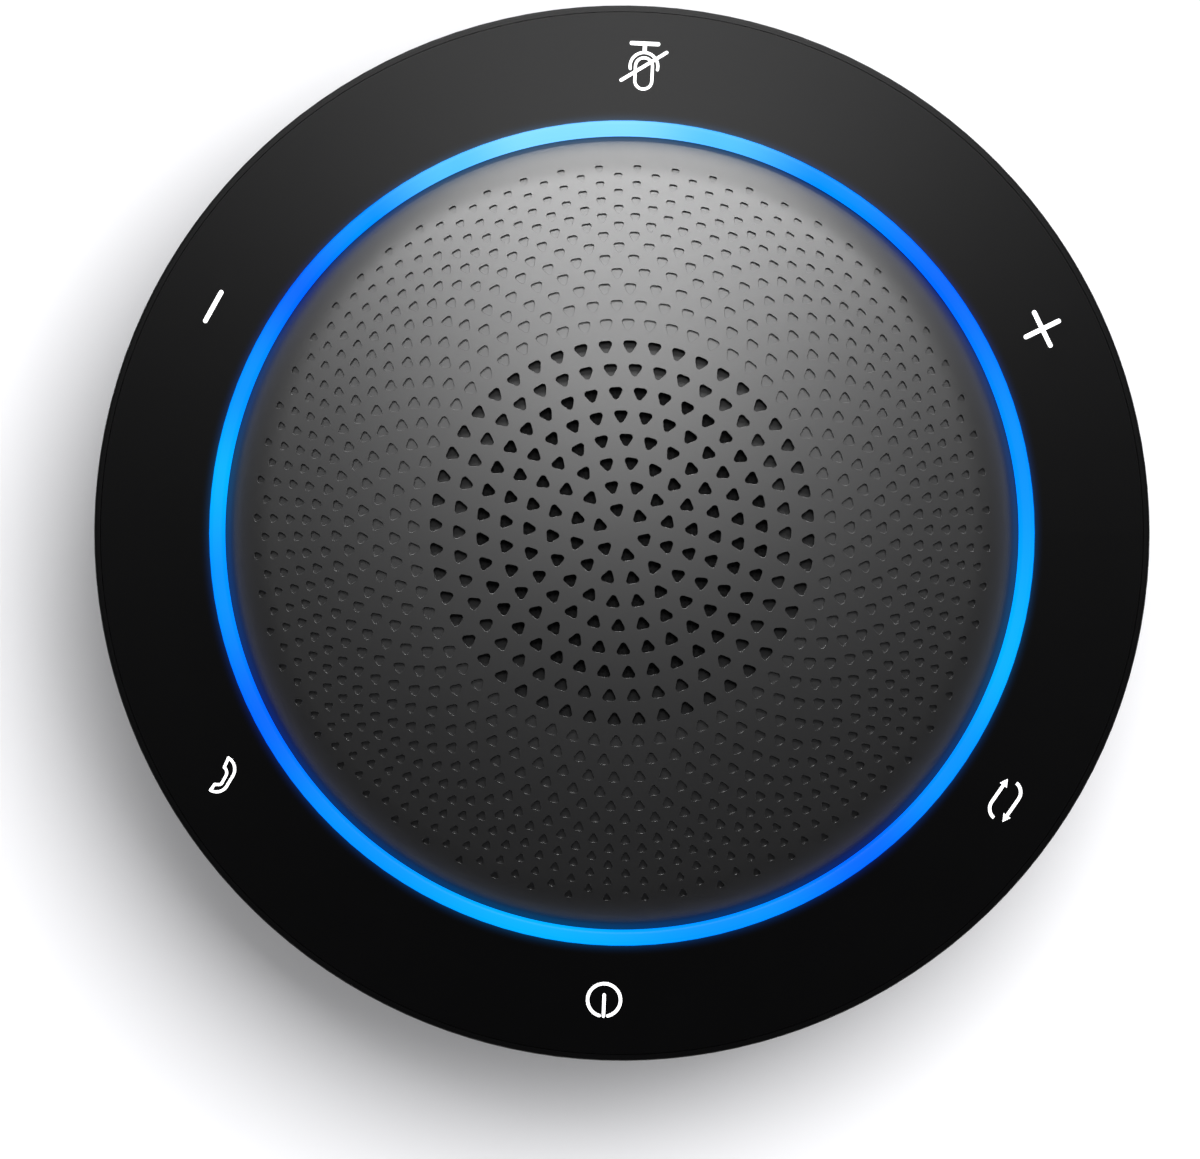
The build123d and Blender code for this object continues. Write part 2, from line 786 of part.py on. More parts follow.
spider_outer = frame_foot_radius - basket_wall - spider_gap
with BuildPart() as spider:
    ring(former_outer + moving_gap, spider_outer, ledge_z, ledge_z + spider_thickness)
spider.part.label = "spider"

cone_edge_z = flange_face - cone_drop
with BuildPart() as cone:
    revolve_points(
        [
            (former_outer, cone_edge_z - cone_depth),
            (cone_outer - cone_rim, cone_edge_z - cone_wall),
            (cone_outer, cone_edge_z - cone_wall),
            (cone_outer, cone_edge_z),
            (cone_outer - cone_rim, cone_edge_z),
            (former_outer, cone_edge_z - cone_depth + cone_wall),
        ]
    )
cone.part.label = "cone"

with BuildPart() as surround:
    with BuildSketch(Plane.XZ):
        with Locations((roll_mid, flange_face)):
            Circle(surround_width)
            Circle(surround_width - surround_wall, mode=Mode.SUBTRACT)
        with Locations((roll_mid, flange_face - surround_width)):
            Rectangle(3 * surround_width, 2 * surround_width, mode=Mode.SUBTRACT)
        lap = surround_glue + 2 * surround_inset
        with Locations((flange_inner + surround_glue - lap / 2, flange_face + surround_wall / 2)):
            Rectangle(lap, surround_wall)
        with BuildLine():
            Polyline(
                (glue_line, flange_face),
                (glue_line + surround_wall, flange_face),
                (glue_line + surround_wall, cone_edge_z + moving_gap),
                (glue_line, cone_edge_z + moving_gap),
                close=True,
            )
        make_face()
    revolve(axis=Axis.Z)
surround.part.label = "surround"

cap_outer = former_outer + cap_lap
cap_bottom = cone_edge_z - cone_depth + cone_wall + (cap_outer - former_outer) * (
    cone_depth - cone_wall
) / (cone_outer - cone_rim - former_outer)


def sphere_radius(half_width, rise):
    """Radius of the sphere whose cap has this half width and rise."""
    return (half_width**2 + rise**2) / (2 * rise)


with BuildPart() as dust_cap:
    with BuildSketch(Plane.XZ):
        with BuildLine():
            for inset in (0, cone_wall):
                RadiusArc(
                    (0, cap_bottom + cap_rise - inset),
                    (cap_outer - inset, cap_bottom),
                    sphere_radius(cap_outer - inset, cap_rise - inset),
                )
            Line((cap_outer, cap_bottom), (cap_outer - cone_wall, cap_bottom))
            Line((0, cap_bottom + cap_rise - cone_wall), (0, cap_bottom + cap_rise))
        make_face()
    revolve(axis=Axis.Z)
dust_cap.part.label = "dust_cap"

lug_reach = driver_bore - lug_gap
with BuildPart() as speaker_terminal:
    block(
        -lug_width / 2, lug_width / 2, frame_foot_radius - lug_root, lug_reach,
        frame_bottom, frame_bottom + lug_thickness,
    )
    with BuildSketch(Plane.XY.offset(frame_bottom)):
        Circle(frame_foot_radius)
    extrude(amount=lug_thickness, mode=Mode.SUBTRACT)
speaker_terminal.part.label = "speaker_terminal"

lead_y = lug_reach - 2 * lead_radius
with BuildPart() as speaker_leads:
    with BuildSketch(Plane.XY.offset(board_top)):
        with Locations((-lead_half, lead_y), (lead_half, lead_y)):
            Circle(lead_radius)
    extrude(amount=frame_bottom - board_top)
speaker_leads.part.label = "speaker_leads"

# ==== Main board and what it carries ==============================================

with BuildPart() as main_board:
    ring(board_inner, board_outer, board_height, board_top)
    with BuildSketch(Plane.XY.offset(board_height)):
        with PolarLocations(post_circle, post_count, start_angle=post_turn):
            Circle(screw_radius + screw_play)
    extrude(amount=board_thickness, mode=Mode.SUBTRACT)
main_board.part.label = "main_board"

board_mid = (board_inner + board_outer) / 2
with BuildPart() as audio_processor:
    half = processor_size / 2
    block(
        board_mid - half, board_mid + half, -half, half,
        board_top, board_top + processor_height,
    )
audio_processor.part.label = "audio_processor"

with BuildPart() as power_amplifier:
    half = amplifier_size / 2
    block(-half, half, -board_mid - half, -board_mid + half, board_top, board_top + amplifier_height)
power_amplifier.part.label = "power_amplifier"

module_x = -board_mid
with BuildPart() as wireless_module:
    block(
        module_x - module_width / 2, module_x + module_width / 2,
        -module_length / 2, module_length / 2,
        board_top, board_top + module_board,
    )
wireless_module.part.label = "wireless_module"

shield_x = module_width / 2 - shield_inset
shield_y = module_length / 2 - shield_inset
shield_bottom = board_top + module_board
with BuildPart() as wireless_shield:
    block(
        module_x - shield_x, module_x + shield_x, -shield_y, shield_y,
        shield_bottom, shield_bottom + shield_height,
    )
    offset(amount=-shield_wall, openings=wireless_shield.faces().sort_by(Axis.Z)[0])
wireless_shield.part.label = "wireless_shield"

with BuildPart() as capacitors:
    with BuildSketch(Plane.XY.offset(board_top)):
        with Locations(
            (capacitor_front_x, -board_mid),
            (-capacitor_front_x, -board_mid),
            (capacitor_rear_x, board_mid - capacitor_rear_shift),
            (-capacitor_rear_x, board_mid - capacitor_rear_shift),
        ):
            Circle(capacitor_radius)
    extrude(amount=deck_bottom - board_top - capacitor_clearance)
capacitors.part.label = "capacitors"


def port_outline(shrink):
    """Stadium section of the charging port."""
    SlotOverall(port_width - 2 * shrink, port_height - 2 * shrink)


port_plane = Plane(origin=(0, port_mouth, port_mid), x_dir=(-1, 0, 0), z_dir=(0, 1, 0))
with BuildPart() as usb_port:
    with BuildSketch(port_plane):
        port_outline(0)
    extrude(amount=-port_length)
    with BuildSketch(port_plane):
        port_outline(port_shell)
    extrude(amount=-(port_length - port_back), mode=Mode.SUBTRACT)
usb_port.part.label = "usb_port"

with BuildPart() as usb_tongue:
    with BuildSketch(port_plane.offset(-(port_length - port_back))):
        Rectangle(tongue_width, tongue_thickness)
    extrude(amount=port_length - port_back - tongue_recess)
usb_tongue.part.label = "usb_tongue"

with BuildPart() as battery_pad:
    block(
        -battery_length / 2 + pad_inset, battery_length / 2 - pad_inset,
        -battery_width / 2 + pad_inset, battery_width / 2 - pad_inset,
        floor_top, floor_top + pad_thickness,
    )
battery_pad.part.label = "battery_pad"

battery_bottom = floor_top + pad_thickness
battery_top = battery_bottom + battery_thickness
with BuildPart() as battery:
    block(
        -battery_length / 2, battery_length / 2, -battery_width / 2, battery_width / 2,
        battery_bottom, battery_top,
    )
    fillet(battery.edges().filter_by(Axis.X), battery_corner)
battery.part.label = "battery"

with BuildPart() as battery_connector:
    block(
        -battery_length / 2 + connector_inset, -board_inner - connector_inset,
        -connector_half, connector_half, battery_top, board_height,
    )
battery_connector.part.label = "battery_connector"

# ==== Base shell, foot ring and screws ============================================

screw_seat_z = foot_lift + foot_groove + screw_seat
bay_outer_half = bay_width / 2 + bay_wall
wall_middle = (floor_top + seam_z) / 2
with BuildPart() as bay_box:
    with BuildSketch(Plane.XZ):
        with BuildLine():
            ThreePointArc(
                (base_radius, foot_lift),
                (wall_radius(wall_middle), wall_middle),
                (seam_radius, seam_z),
            )
            Polyline((seam_radius, seam_z), (0, seam_z), (0, foot_lift), (base_radius, foot_lift))
        make_face()
    revolve(axis=Axis.Z)
    block(
        -bay_outer_half, bay_outer_half, -rim_radius, -bay_back + bay_wall,
        floor_top, floor_top + bay_height + bay_wall, Mode.INTERSECT,
    )

with BuildPart() as base_shell:
    with BuildSketch(Plane.XZ):
        with BuildLine():
            Polyline(
                (0, floor_top),
                (0, foot_lift),
                (foot_inner, foot_lift),
                (foot_inner, foot_lift + foot_groove),
                (foot_outer, foot_lift + foot_groove),
                (foot_outer, foot_lift),
                (base_radius, foot_lift),
            )
            ThreePointArc(
                (base_radius, foot_lift),
                (wall_radius(wall_middle), wall_middle),
                (seam_radius, seam_z),
            )
            Line((seam_radius, seam_z), (wall_radius(seam_z, base_wall), seam_z))
            ThreePointArc(
                (wall_radius(seam_z, base_wall), seam_z),
                (wall_radius(wall_middle, base_wall), wall_middle),
                (wall_radius(floor_top, base_wall), floor_top),
            )
            Line((wall_radius(floor_top, base_wall), floor_top), (0, floor_top))
        make_face()
    revolve(axis=Axis.Z)
    under_edges = base_shell.edges().filter_by(GeomType.CIRCLE).group_by(Axis.Z)[0]
    fillet(under_edges.sort_by(SortBy.RADIUS)[-1], base_round)
    with BuildSketch(Plane.XY.offset(floor_top)):
        with PolarLocations(post_circle, post_count, start_angle=post_turn):
            Circle(post_radius)
    extrude(amount=board_height - floor_top)
    with BuildSketch(Plane.XY.offset(foot_lift)):
        with PolarLocations(post_circle, post_count, start_angle=post_turn):
            Circle(screw_head_radius + screw_play)
    extrude(amount=screw_seat_z - foot_lift, mode=Mode.SUBTRACT)
    with BuildSketch(Plane.XY.offset(foot_lift)):
        with PolarLocations(post_circle, post_count, start_angle=post_turn):
            Circle(screw_radius + screw_play)
    extrude(amount=board_height - foot_lift, mode=Mode.SUBTRACT)
    add(bay_box.part)
    block(
        -bay_width / 2, bay_width / 2, -rim_radius, -bay_back,
        floor_top, floor_top + bay_height, Mode.SUBTRACT,
    )
    with BuildSketch(port_plane.offset(board_outer - port_cut - port_mouth)):
        SlotOverall(port_width + 2 * port_clearance, port_height + 2 * port_clearance)
    extrude(amount=rim_radius, mode=Mode.SUBTRACT)
base_shell.part.label = "base_shell"

with BuildPart() as foot_ring:
    ring(foot_inner, foot_outer, 0, foot_lift + foot_groove)
    fillet(foot_ring.edges().group_by(Axis.Z)[0], foot_round)
foot_ring.part.label = "foot_ring"

screw_tip = board_top + screw_bite
with BuildPart() as housing_screws:
    with BuildSketch(Plane.XY.offset(screw_seat_z)):
        with PolarLocations(post_circle, post_count, start_angle=post_turn):
            Circle(screw_head_radius)
    extrude(amount=-screw_head_height)
    with BuildSketch(Plane.XY.offset(screw_seat_z)):
        with PolarLocations(post_circle, post_count, start_angle=post_turn):
            Circle(screw_radius)
    extrude(amount=screw_tip - screw_seat_z)
    with BuildSketch(Plane.XY.offset(screw_seat_z - screw_head_height)):
        with PolarLocations(post_circle, post_count, start_angle=post_turn):
            Rectangle(drive_slot, drive_reach * screw_head_radius)
            Rectangle(drive_reach * screw_head_radius, drive_slot)
    extrude(amount=drive_depth, mode=Mode.SUBTRACT)
housing_screws.part.label = "housing_screws"

# ==== Radio dongle, stored in its bay =============================================

# Its own axes: plug tip at +Y, cap end at -Y, all at the dongle's mid height.
plug_plane = Plane(origin=(0, -plug_tip, dongle_mid), x_dir=(1, 0, 0), z_dir=(0, -1, 0))
plug_inside = dongle_length - dongle_cap_length - plug_set_in
with BuildPart() as dongle_shell:
    with BuildSketch(plug_plane):
        RectangleRounded(plug_width, plug_height, plug_corner)
        Rectangle(plug_width - 2 * plug_shell, plug_height - 2 * plug_shell, mode=Mode.SUBTRACT)
    extrude(amount=plug_length + plug_inside)
    with BuildSketch(Plane.XY.offset(dongle_mid - plug_height)):
        with Locations(
            (-plug_window_spacing / 2, -plug_tip - plug_window_inset),
            (plug_window_spacing / 2, -plug_tip - plug_window_inset),
        ):
            Rectangle(plug_window_long, plug_window_wide)
    extrude(amount=2 * plug_height, mode=Mode.SUBTRACT)
dongle_shell.part.label = "dongle_shell"

inner_half = plug_width / 2 - plug_shell
inner_top = dongle_mid + plug_height / 2 - plug_shell
with BuildPart() as dongle_tongue:
    block(
        -inner_half, inner_half, -plug_root, -plug_tip - plug_tongue_recess,
        inner_top - plug_tongue_height, inner_top,
    )
dongle_tongue.part.label = "dongle_tongue"

contact_length = plug_length - contact_setback
contact_z = inner_top - plug_tongue_height
with BuildPart() as dongle_contacts:
    with BuildSketch(Plane.XY.offset(contact_z)):
        with Locations((0, -plug_root + contact_length / 2)):
            with GridLocations(contact_spacing, 1, contact_count, 1):
                Rectangle(contact_width, contact_length)
    extrude(amount=-contact_thickness)
dongle_contacts.part.label = "dongle_contacts"

dongle_seam = dongle_front - dongle_cap_length
with BuildPart() as dongle_envelope:
    with BuildSketch(Plane.XY.offset(dongle_mid - dongle_thickness / 2)):
        with BuildLine():
            Polyline(
                (-dongle_body_width / 2, -plug_root),
                (dongle_body_width / 2, -plug_root),
                (dongle_body_width / 2, -dongle_seam),
                (dongle_cap_width / 2, -dongle_front),
                (-dongle_cap_width / 2, -dongle_front),
                (-dongle_body_width / 2, -dongle_seam),
                close=True,
            )
        make_face()
    extrude(amount=dongle_thickness)
    fillet(dongle_envelope.edges().filter_by(Axis.Z), dongle_round)
    fillet(dongle_envelope.edges().group_by(Axis.Y)[0], dongle_end_round)

with BuildPart() as cap_side:
    with BuildSketch(Plane.XY.offset(dongle_mid - dongle_thickness)):
        with BuildLine():
            ThreePointArc(
                (-dongle_cap_width, -dongle_seam),
                (0, -dongle_seam + dongle_seam_sag * 2),
                (dongle_cap_width, -dongle_seam),
            )
            Polyline(
                (dongle_cap_width, -dongle_seam),
                (dongle_cap_width, -2 * dongle_front),
                (-dongle_cap_width, -2 * dongle_front),
                (-dongle_cap_width, -dongle_seam),
            )
        make_face()
    extrude(amount=2 * dongle_thickness)

with BuildPart() as dongle_body:
    add(dongle_envelope.part)
    add(cap_side.part, mode=Mode.SUBTRACT)
    block(
        -plug_width / 2, plug_width / 2, -dongle_front, -plug_root,
        dongle_mid - plug_height / 2, dongle_mid + plug_height / 2, Mode.SUBTRACT,
    )
dongle_body.part.label = "dongle_body"

with BuildPart() as dongle_cap:
    add(dongle_envelope.part)
    add(cap_side.part, mode=Mode.INTERSECT)
    block(
        -plug_width / 2, plug_width / 2, -dongle_front + dongle_cap_wall, -plug_root,
        dongle_mid - plug_height / 2, dongle_mid + plug_height / 2, Mode.SUBTRACT,
    )
dongle_cap.part.label = "dongle_cap"

board_edge = plug_root + plug_inside
with BuildPart() as dongle_board:
    block(
        -plug_width / 2 + dongle_board_inset, plug_width / 2 - dongle_board_inset,
        -dongle_front + dongle_board_end, -board_edge,
        dongle_mid - dongle_board_half, dongle_mid + dongle_board_half,
    )
dongle_board.part.label = "dongle_board"

with BuildPart() as dongle_radio:
    block(
        -dongle_radio_half, dongle_radio_half,
        -dongle_front + dongle_board_end + dongle_radio_inset, -board_edge - dongle_radio_inset,
        dongle_mid + dongle_board_half, dongle_mid + dongle_board_half + dongle_radio_height,
    )
dongle_radio.part.label = "dongle_radio"

# ==== Write every piece ===========================================================

pieces = icons + [
    control_ring, touch_sensor, light_ring, led_board, leds, grille_dome, acoustic_mesh,
    upper_housing, mic_boots, mic_boards, speaker_gasket, speaker_basket, speaker_screws,
    speaker_top_plate, speaker_magnet, speaker_yoke, coil_former, voice_coil, spider, cone,
    surround, dust_cap, speaker_terminal, speaker_leads, main_board, audio_processor,
    power_amplifier, wireless_module, wireless_shield, capacitors, usb_port, usb_tongue,
    battery_pad, battery, battery_connector, base_shell, foot_ring, housing_screws,
    dongle_shell, dongle_tongue, dongle_contacts, dongle_body, dongle_cap, dongle_board,
    dongle_radio,
]
for piece in pieces:
    export_step(piece.part, f"parts/{piece.part.label}.step")
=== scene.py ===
import math

import bmesh
import bpy
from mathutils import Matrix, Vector
from mathutils.geometry import delaunay_2d_cdt


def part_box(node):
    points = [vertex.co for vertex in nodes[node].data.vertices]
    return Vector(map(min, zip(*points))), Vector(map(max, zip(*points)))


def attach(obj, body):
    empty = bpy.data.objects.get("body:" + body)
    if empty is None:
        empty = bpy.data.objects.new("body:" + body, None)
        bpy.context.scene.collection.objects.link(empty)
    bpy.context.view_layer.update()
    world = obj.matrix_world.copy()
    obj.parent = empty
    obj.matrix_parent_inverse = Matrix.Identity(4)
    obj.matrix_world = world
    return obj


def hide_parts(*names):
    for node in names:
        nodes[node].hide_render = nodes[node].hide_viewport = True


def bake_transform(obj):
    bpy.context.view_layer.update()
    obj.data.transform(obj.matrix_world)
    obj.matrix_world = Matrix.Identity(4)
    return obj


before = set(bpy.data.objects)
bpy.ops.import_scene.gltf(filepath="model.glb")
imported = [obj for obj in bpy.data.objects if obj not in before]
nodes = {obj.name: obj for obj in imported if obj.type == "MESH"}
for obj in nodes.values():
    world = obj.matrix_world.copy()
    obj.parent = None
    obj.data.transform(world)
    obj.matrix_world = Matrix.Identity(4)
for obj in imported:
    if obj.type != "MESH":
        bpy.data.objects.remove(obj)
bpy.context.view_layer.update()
MM = 0.001

# ==== Sizes shared with the CAD model, in millimetres =============================

dome_low, dome_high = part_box("grille_dome")
light_low, light_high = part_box("light_ring")

DOME_RADIUS = dome_high.x / MM
DOME_TOP = dome_high.z / MM
DOME_FOOT = dome_low.z / MM
DOME_WALL = 1.4
BAND_EDGE = 40.6  # where the band begins, just outside the light ring
EDGE_ROLL = 4.5
CAP_EDGE = DOME_RADIUS - EDGE_ROLL  # where the cap turns into the rolled edge
CAP_RISE = 6.1
EDGE_SLOPE = math.radians(55)
HOLE_PITCH = 2.285
THROUGH_RINGS = 6
BLIND_RINGS = 8
LAST_RING = 23

CAP_RADIUS = (CAP_EDGE**2 + CAP_RISE**2) / (2 * CAP_RISE)
CAP_ANGLE = math.asin(CAP_EDGE / CAP_RADIUS)
CAP_CENTRE = DOME_TOP - CAP_RADIUS
ROLL = (DOME_RADIUS - CAP_EDGE) / (math.sin(EDGE_SLOPE) - math.sin(CAP_ANGLE))
ROLL_R = CAP_EDGE - ROLL * math.sin(CAP_ANGLE)
ROLL_Z = CAP_CENTRE + (CAP_RADIUS - ROLL) * math.cos(CAP_ANGLE)


def dome_height(r, depth=0.0):
    """Height of the dome's skin at radius r, this deep inside the wall."""
    if r <= CAP_EDGE:
        return CAP_CENTRE + math.sqrt((CAP_RADIUS - depth) ** 2 - r**2)
    reach = min(r - ROLL_R, (ROLL - depth) * math.sin(EDGE_SLOPE))
    return ROLL_Z + math.sqrt((ROLL - depth) ** 2 - reach**2)


def dome_normal(x, y):
    """Outward normal of the dome's skin over the point x, y."""
    r = math.hypot(x, y)
    if r < 1e-6:
        return Vector((0, 0, 1))
    if r <= CAP_EDGE:
        slope = math.asin(r / CAP_RADIUS)
    else:
        slope = math.asin(min(1, (r - ROLL_R) / ROLL))
    return Vector((x / r * math.sin(slope), y / r * math.sin(slope), math.cos(slope)))


# ==== Camera and light ============================================================

FRAME_WIDTH = 0.1179  # metres across the frame at the height of the light ring
CAMERA_HEIGHT = 1.2
CAMERA_X = -0.00216
CAMERA_Y = -0.00457
SENSOR = 36.0

camera_data = bpy.data.cameras.new("camera")
camera_data.sensor_width = SENSOR
camera_data.lens = SENSOR * (CAMERA_HEIGHT - light_high.z) / FRAME_WIDTH
camera = bpy.data.objects.new("camera", camera_data)
camera.location = (CAMERA_X, CAMERA_Y, CAMERA_HEIGHT)
bpy.context.scene.collection.objects.link(camera)
bpy.context.scene.camera = camera


DEVICE_MIDDLE = 0.02  # height that the lights face


def area_light(name, toward, distance, size, power, colour=(1, 1, 1)):
    """A rectangular soft light that stands in this direction and faces the device."""
    data = bpy.data.lights.new(name, "AREA")
    data.shape = "RECTANGLE"
    data.size = size[0]
    data.size_y = size[1]
    data.energy = power
    data.color = colour
    lamp = bpy.data.objects.new(name, data)
    direction = Vector(toward).normalized()
    lamp.location = direction * distance + Vector((0, 0, DEVICE_MIDDLE))
    lamp.rotation_euler = direction.to_track_quat("Z", "Y").to_euler()
    bpy.context.scene.collection.objects.link(lamp)
    return lamp


def from_above(polar, clockwise):
    """A direction this many degrees from straight up, towards this clockwise bearing from +Y."""
    p = math.radians(polar)
    c = math.radians(clockwise)
    return (math.sin(p) * math.sin(c), math.sin(p) * math.cos(c), math.cos(p))


# Two strips and a card on the +Y side draw the sheen on the dome and the band. The large
# soft light towards +X and +Y lights the floor and casts the shadow.
strips = [
    area_light("strip_softbox", from_above(46, 1), 0.9, (0.95, 0.16), 14.6),
    area_light("low_strip", from_above(81, 1), 0.9, (0.83, 0.13), 7.9),
    area_light("high_card", from_above(20, 0), 0.9, (0.3, 0.25), 2.8),
]
for strip in strips:
    strip.visible_diffuse = False
over = area_light("overhead_softbox", from_above(26, 40), 1.4, (1.0, 1.0), 23)
over.visible_glossy = False

world = bpy.data.worlds.new("studio")
bpy.context.scene.world = world
world.use_nodes = True
sky = world.node_tree
sky.nodes.clear()
world_out = sky.nodes.new("ShaderNodeOutputWorld")
ray = sky.nodes.new("ShaderNodeLightPath")


def glow(strength):
    """An even pale background of this strength."""
    light = sky.nodes.new("ShaderNodeBackground")
    light.inputs["Color"].default_value = (1, 1, 1, 1)
    light.inputs["Strength"].default_value = strength
    return light


seen_or_not = sky.nodes.new("ShaderNodeMixShader")
diffuse_or_not = sky.nodes.new("ShaderNodeMixShader")
sky.links.new(ray.outputs["Is Diffuse Ray"], diffuse_or_not.inputs[0])
sky.links.new(glow(0.03).outputs[0], diffuse_or_not.inputs[1])
sky.links.new(glow(0.5).outputs[0], diffuse_or_not.inputs[2])
sky.links.new(ray.outputs["Is Camera Ray"], seen_or_not.inputs[0])
sky.links.new(diffuse_or_not.outputs[0], seen_or_not.inputs[1])
sky.links.new(glow(0.93).outputs[0], seen_or_not.inputs[2])
sky.links.new(seen_or_not.outputs[0], world_out.inputs[0])

bpy.context.scene.view_settings.view_transform = "Standard"

# ==== Materials ===================================================================


RAMP_LOW = 0.3  # noise stays mostly between these two values
RAMP_HIGH = 0.7


def new_material(name):
    """A node material with its tree and its Principled shader."""
    m = bpy.data.materials.new(name)
    m.use_nodes = True
    tree = m.node_tree
    shader = next(n for n in tree.nodes if n.type == "BSDF_PRINCIPLED")
    return m, tree, shader


def add_node(tree, kind, **values):
    """A node with its properties and its input defaults set by name."""
    node = tree.nodes.new(kind)
    for key, value in values.items():
        if hasattr(node, key) and key not in node.inputs:
            setattr(node, key, value)
        else:
            node.inputs[key].default_value = value
    return node


def noise(tree, scale, detail=3.0, roughness=0.55):
    """Noise over the object's own coordinates; scale is cells per metre."""
    where = add_node(tree, "ShaderNodeTexCoord")
    cells = add_node(tree, "ShaderNodeTexNoise")
    cells.inputs["Scale"].default_value = scale
    cells.inputs["Detail"].default_value = detail
    cells.inputs["Roughness"].default_value = roughness
    tree.links.new(where.outputs["Object"], cells.inputs["Vector"])
    return cells.outputs["Fac"]


def remap(tree, value, low, high):
    """Spread a 0 to 1 value over another range."""
    spread = add_node(tree, "ShaderNodeMapRange")
    spread.inputs["From Min"].default_value = RAMP_LOW
    spread.inputs["From Max"].default_value = RAMP_HIGH
    spread.inputs["To Min"].default_value = low
    spread.inputs["To Max"].default_value = high
    tree.links.new(value, spread.inputs["Value"])
    return spread.outputs["Result"]


def tint(tree, value, dark, light):
    """A colour between two, chosen by a 0 to 1 value."""
    ramp = add_node(tree, "ShaderNodeValToRGB")
    ramp.color_ramp.elements[0].position = RAMP_LOW
    ramp.color_ramp.elements[0].color = (*dark, 1)
    ramp.color_ramp.elements[1].position = RAMP_HIGH
    ramp.color_ramp.elements[1].color = (*light, 1)
    tree.links.new(value, ramp.inputs["Fac"])
    return ramp.outputs["Color"]


def moulded(name, colour, roughness, grain=9000.0, height=0.004, specular=0.5, spread=0.08):
    """Moulded plastic or rubber: a fine spark-eroded grain and slight unevenness."""
    m, tree, shader = new_material(name)
    drift = noise(tree, 160.0, 2.0)
    dark = tuple(c * (1 - spread) for c in colour)
    light = tuple(c * (1 + spread) for c in colour)
    tree.links.new(tint(tree, drift, dark, light), shader.inputs["Base Color"])
    fine = noise(tree, grain, 3.0)
    worn = remap(tree, fine, roughness - 0.03, roughness + 0.03)
    tree.links.new(worn, shader.inputs["Roughness"])
    bump = add_node(tree, "ShaderNodeBump", Strength=0.35, Distance=height * MM)
    tree.links.new(fine, bump.inputs["Height"])
    tree.links.new(bump.outputs["Normal"], shader.inputs["Normal"])
    shader.inputs["Specular IOR Level"].default_value = specular
    return m


def metal(name, colour, roughness, streak=None, grain=6000.0, metallic=1.0):
    """Plated or brushed metal. Streak stretches the grain; metallic under 1 is a satin plating."""
    m, tree, shader = new_material(name)
    where = add_node(tree, "ShaderNodeTexCoord")
    stretch = add_node(tree, "ShaderNodeMapping")
    stretch.inputs["Scale"].default_value = streak or (1, 1, 1)
    cells = add_node(tree, "ShaderNodeTexNoise", Scale=grain, Detail=2.0)
    tree.links.new(where.outputs["Object"], stretch.inputs["Vector"])
    tree.links.new(stretch.outputs["Vector"], cells.inputs["Vector"])
    value = cells.outputs["Fac"]
    dark = tuple(c * 0.9 for c in colour)
    tree.links.new(tint(tree, value, dark, colour), shader.inputs["Base Color"])
    tree.links.new(remap(tree, value, roughness * 0.8, roughness * 1.2), shader.inputs["Roughness"])
    bump = add_node(tree, "ShaderNodeBump", Strength=0.2, Distance=0.002 * MM)
    tree.links.new(value, bump.inputs["Height"])
    tree.links.new(bump.outputs["Normal"], shader.inputs["Normal"])
    shader.inputs["Metallic"].default_value = metallic
    return m


WEAVE_COARSENESS = 6.28


def woven(name, dark, light, threads=2500.0, roughness=0.85):
    """A fine square weave, for acoustic mesh and treated cloth."""
    m, tree, shader = new_material(name)
    where = add_node(tree, "ShaderNodeTexCoord")
    scale = threads / WEAVE_COARSENESS
    warp = add_node(tree, "ShaderNodeTexWave", bands_direction="X", Scale=scale)
    weft = add_node(tree, "ShaderNodeTexWave", bands_direction="Y", Scale=scale)
    both = add_node(tree, "ShaderNodeMath", operation="MAXIMUM")
    tree.links.new(where.outputs["Object"], warp.inputs["Vector"])
    tree.links.new(where.outputs["Object"], weft.inputs["Vector"])
    tree.links.new(warp.outputs["Fac"], both.inputs[0])
    tree.links.new(weft.outputs["Fac"], both.inputs[1])
    tree.links.new(tint(tree, both.outputs[0], dark, light), shader.inputs["Base Color"])
    bump = add_node(tree, "ShaderNodeBump", Strength=0.6, Distance=0.05 * MM)
    tree.links.new(both.outputs[0], bump.inputs["Height"])
    tree.links.new(bump.outputs["Normal"], shader.inputs["Normal"])
    shader.inputs["Roughness"].default_value = roughness
    return m


def circuit(name):
    """Solder mask over copper: darker lanes between slightly raised tracks."""
    m, tree, shader = new_material(name)
    where = add_node(tree, "ShaderNodeTexCoord")
    lanes = add_node(tree, "ShaderNodeTexBrick", Scale=420.0)
    lanes.inputs["Mortar Size"].default_value = 0.03
    tree.links.new(where.outputs["Object"], lanes.inputs["Vector"])
    green = tint(tree, lanes.outputs["Fac"], (0.008, 0.07, 0.035), (0.02, 0.16, 0.08))
    tree.links.new(green, shader.inputs["Base Color"])
    bump = add_node(tree, "ShaderNodeBump", Strength=0.5, Distance=0.03 * MM)
    tree.links.new(lanes.outputs["Fac"], bump.inputs["Height"])
    tree.links.new(bump.outputs["Normal"], shader.inputs["Normal"])
    shader.inputs["Roughness"].default_value = 0.35
    return m


# Colours of the lit ring by clockwise bearing from +Y: pale at the top, then cyan
# where a lamp is near and deep blue between lamps.
PALE = (0.25, 0.76, 1.6)
CYAN = (0.0, 0.46, 1.45)
SKY = (0.0, 0.30, 1.45)
DEEP = (0.0, 0.15, 1.5)
NEAR_PALE = (0.24, 0.75, 1.6)
HALF_PALE = (0.10, 0.58, 1.5)
RING_STOPS = [
    (0, PALE), (14, HALF_PALE), (30, SKY), (52, DEEP), (78, SKY), (107, CYAN), (126, SKY),
    (143, DEEP), (162, SKY), (193, CYAN), (222, SKY), (243, DEEP), (262, SKY), (278, CYAN),
    (292, SKY), (307, DEEP), (321, SKY), (335, HALF_PALE), (347, NEAR_PALE), (360, PALE),
]


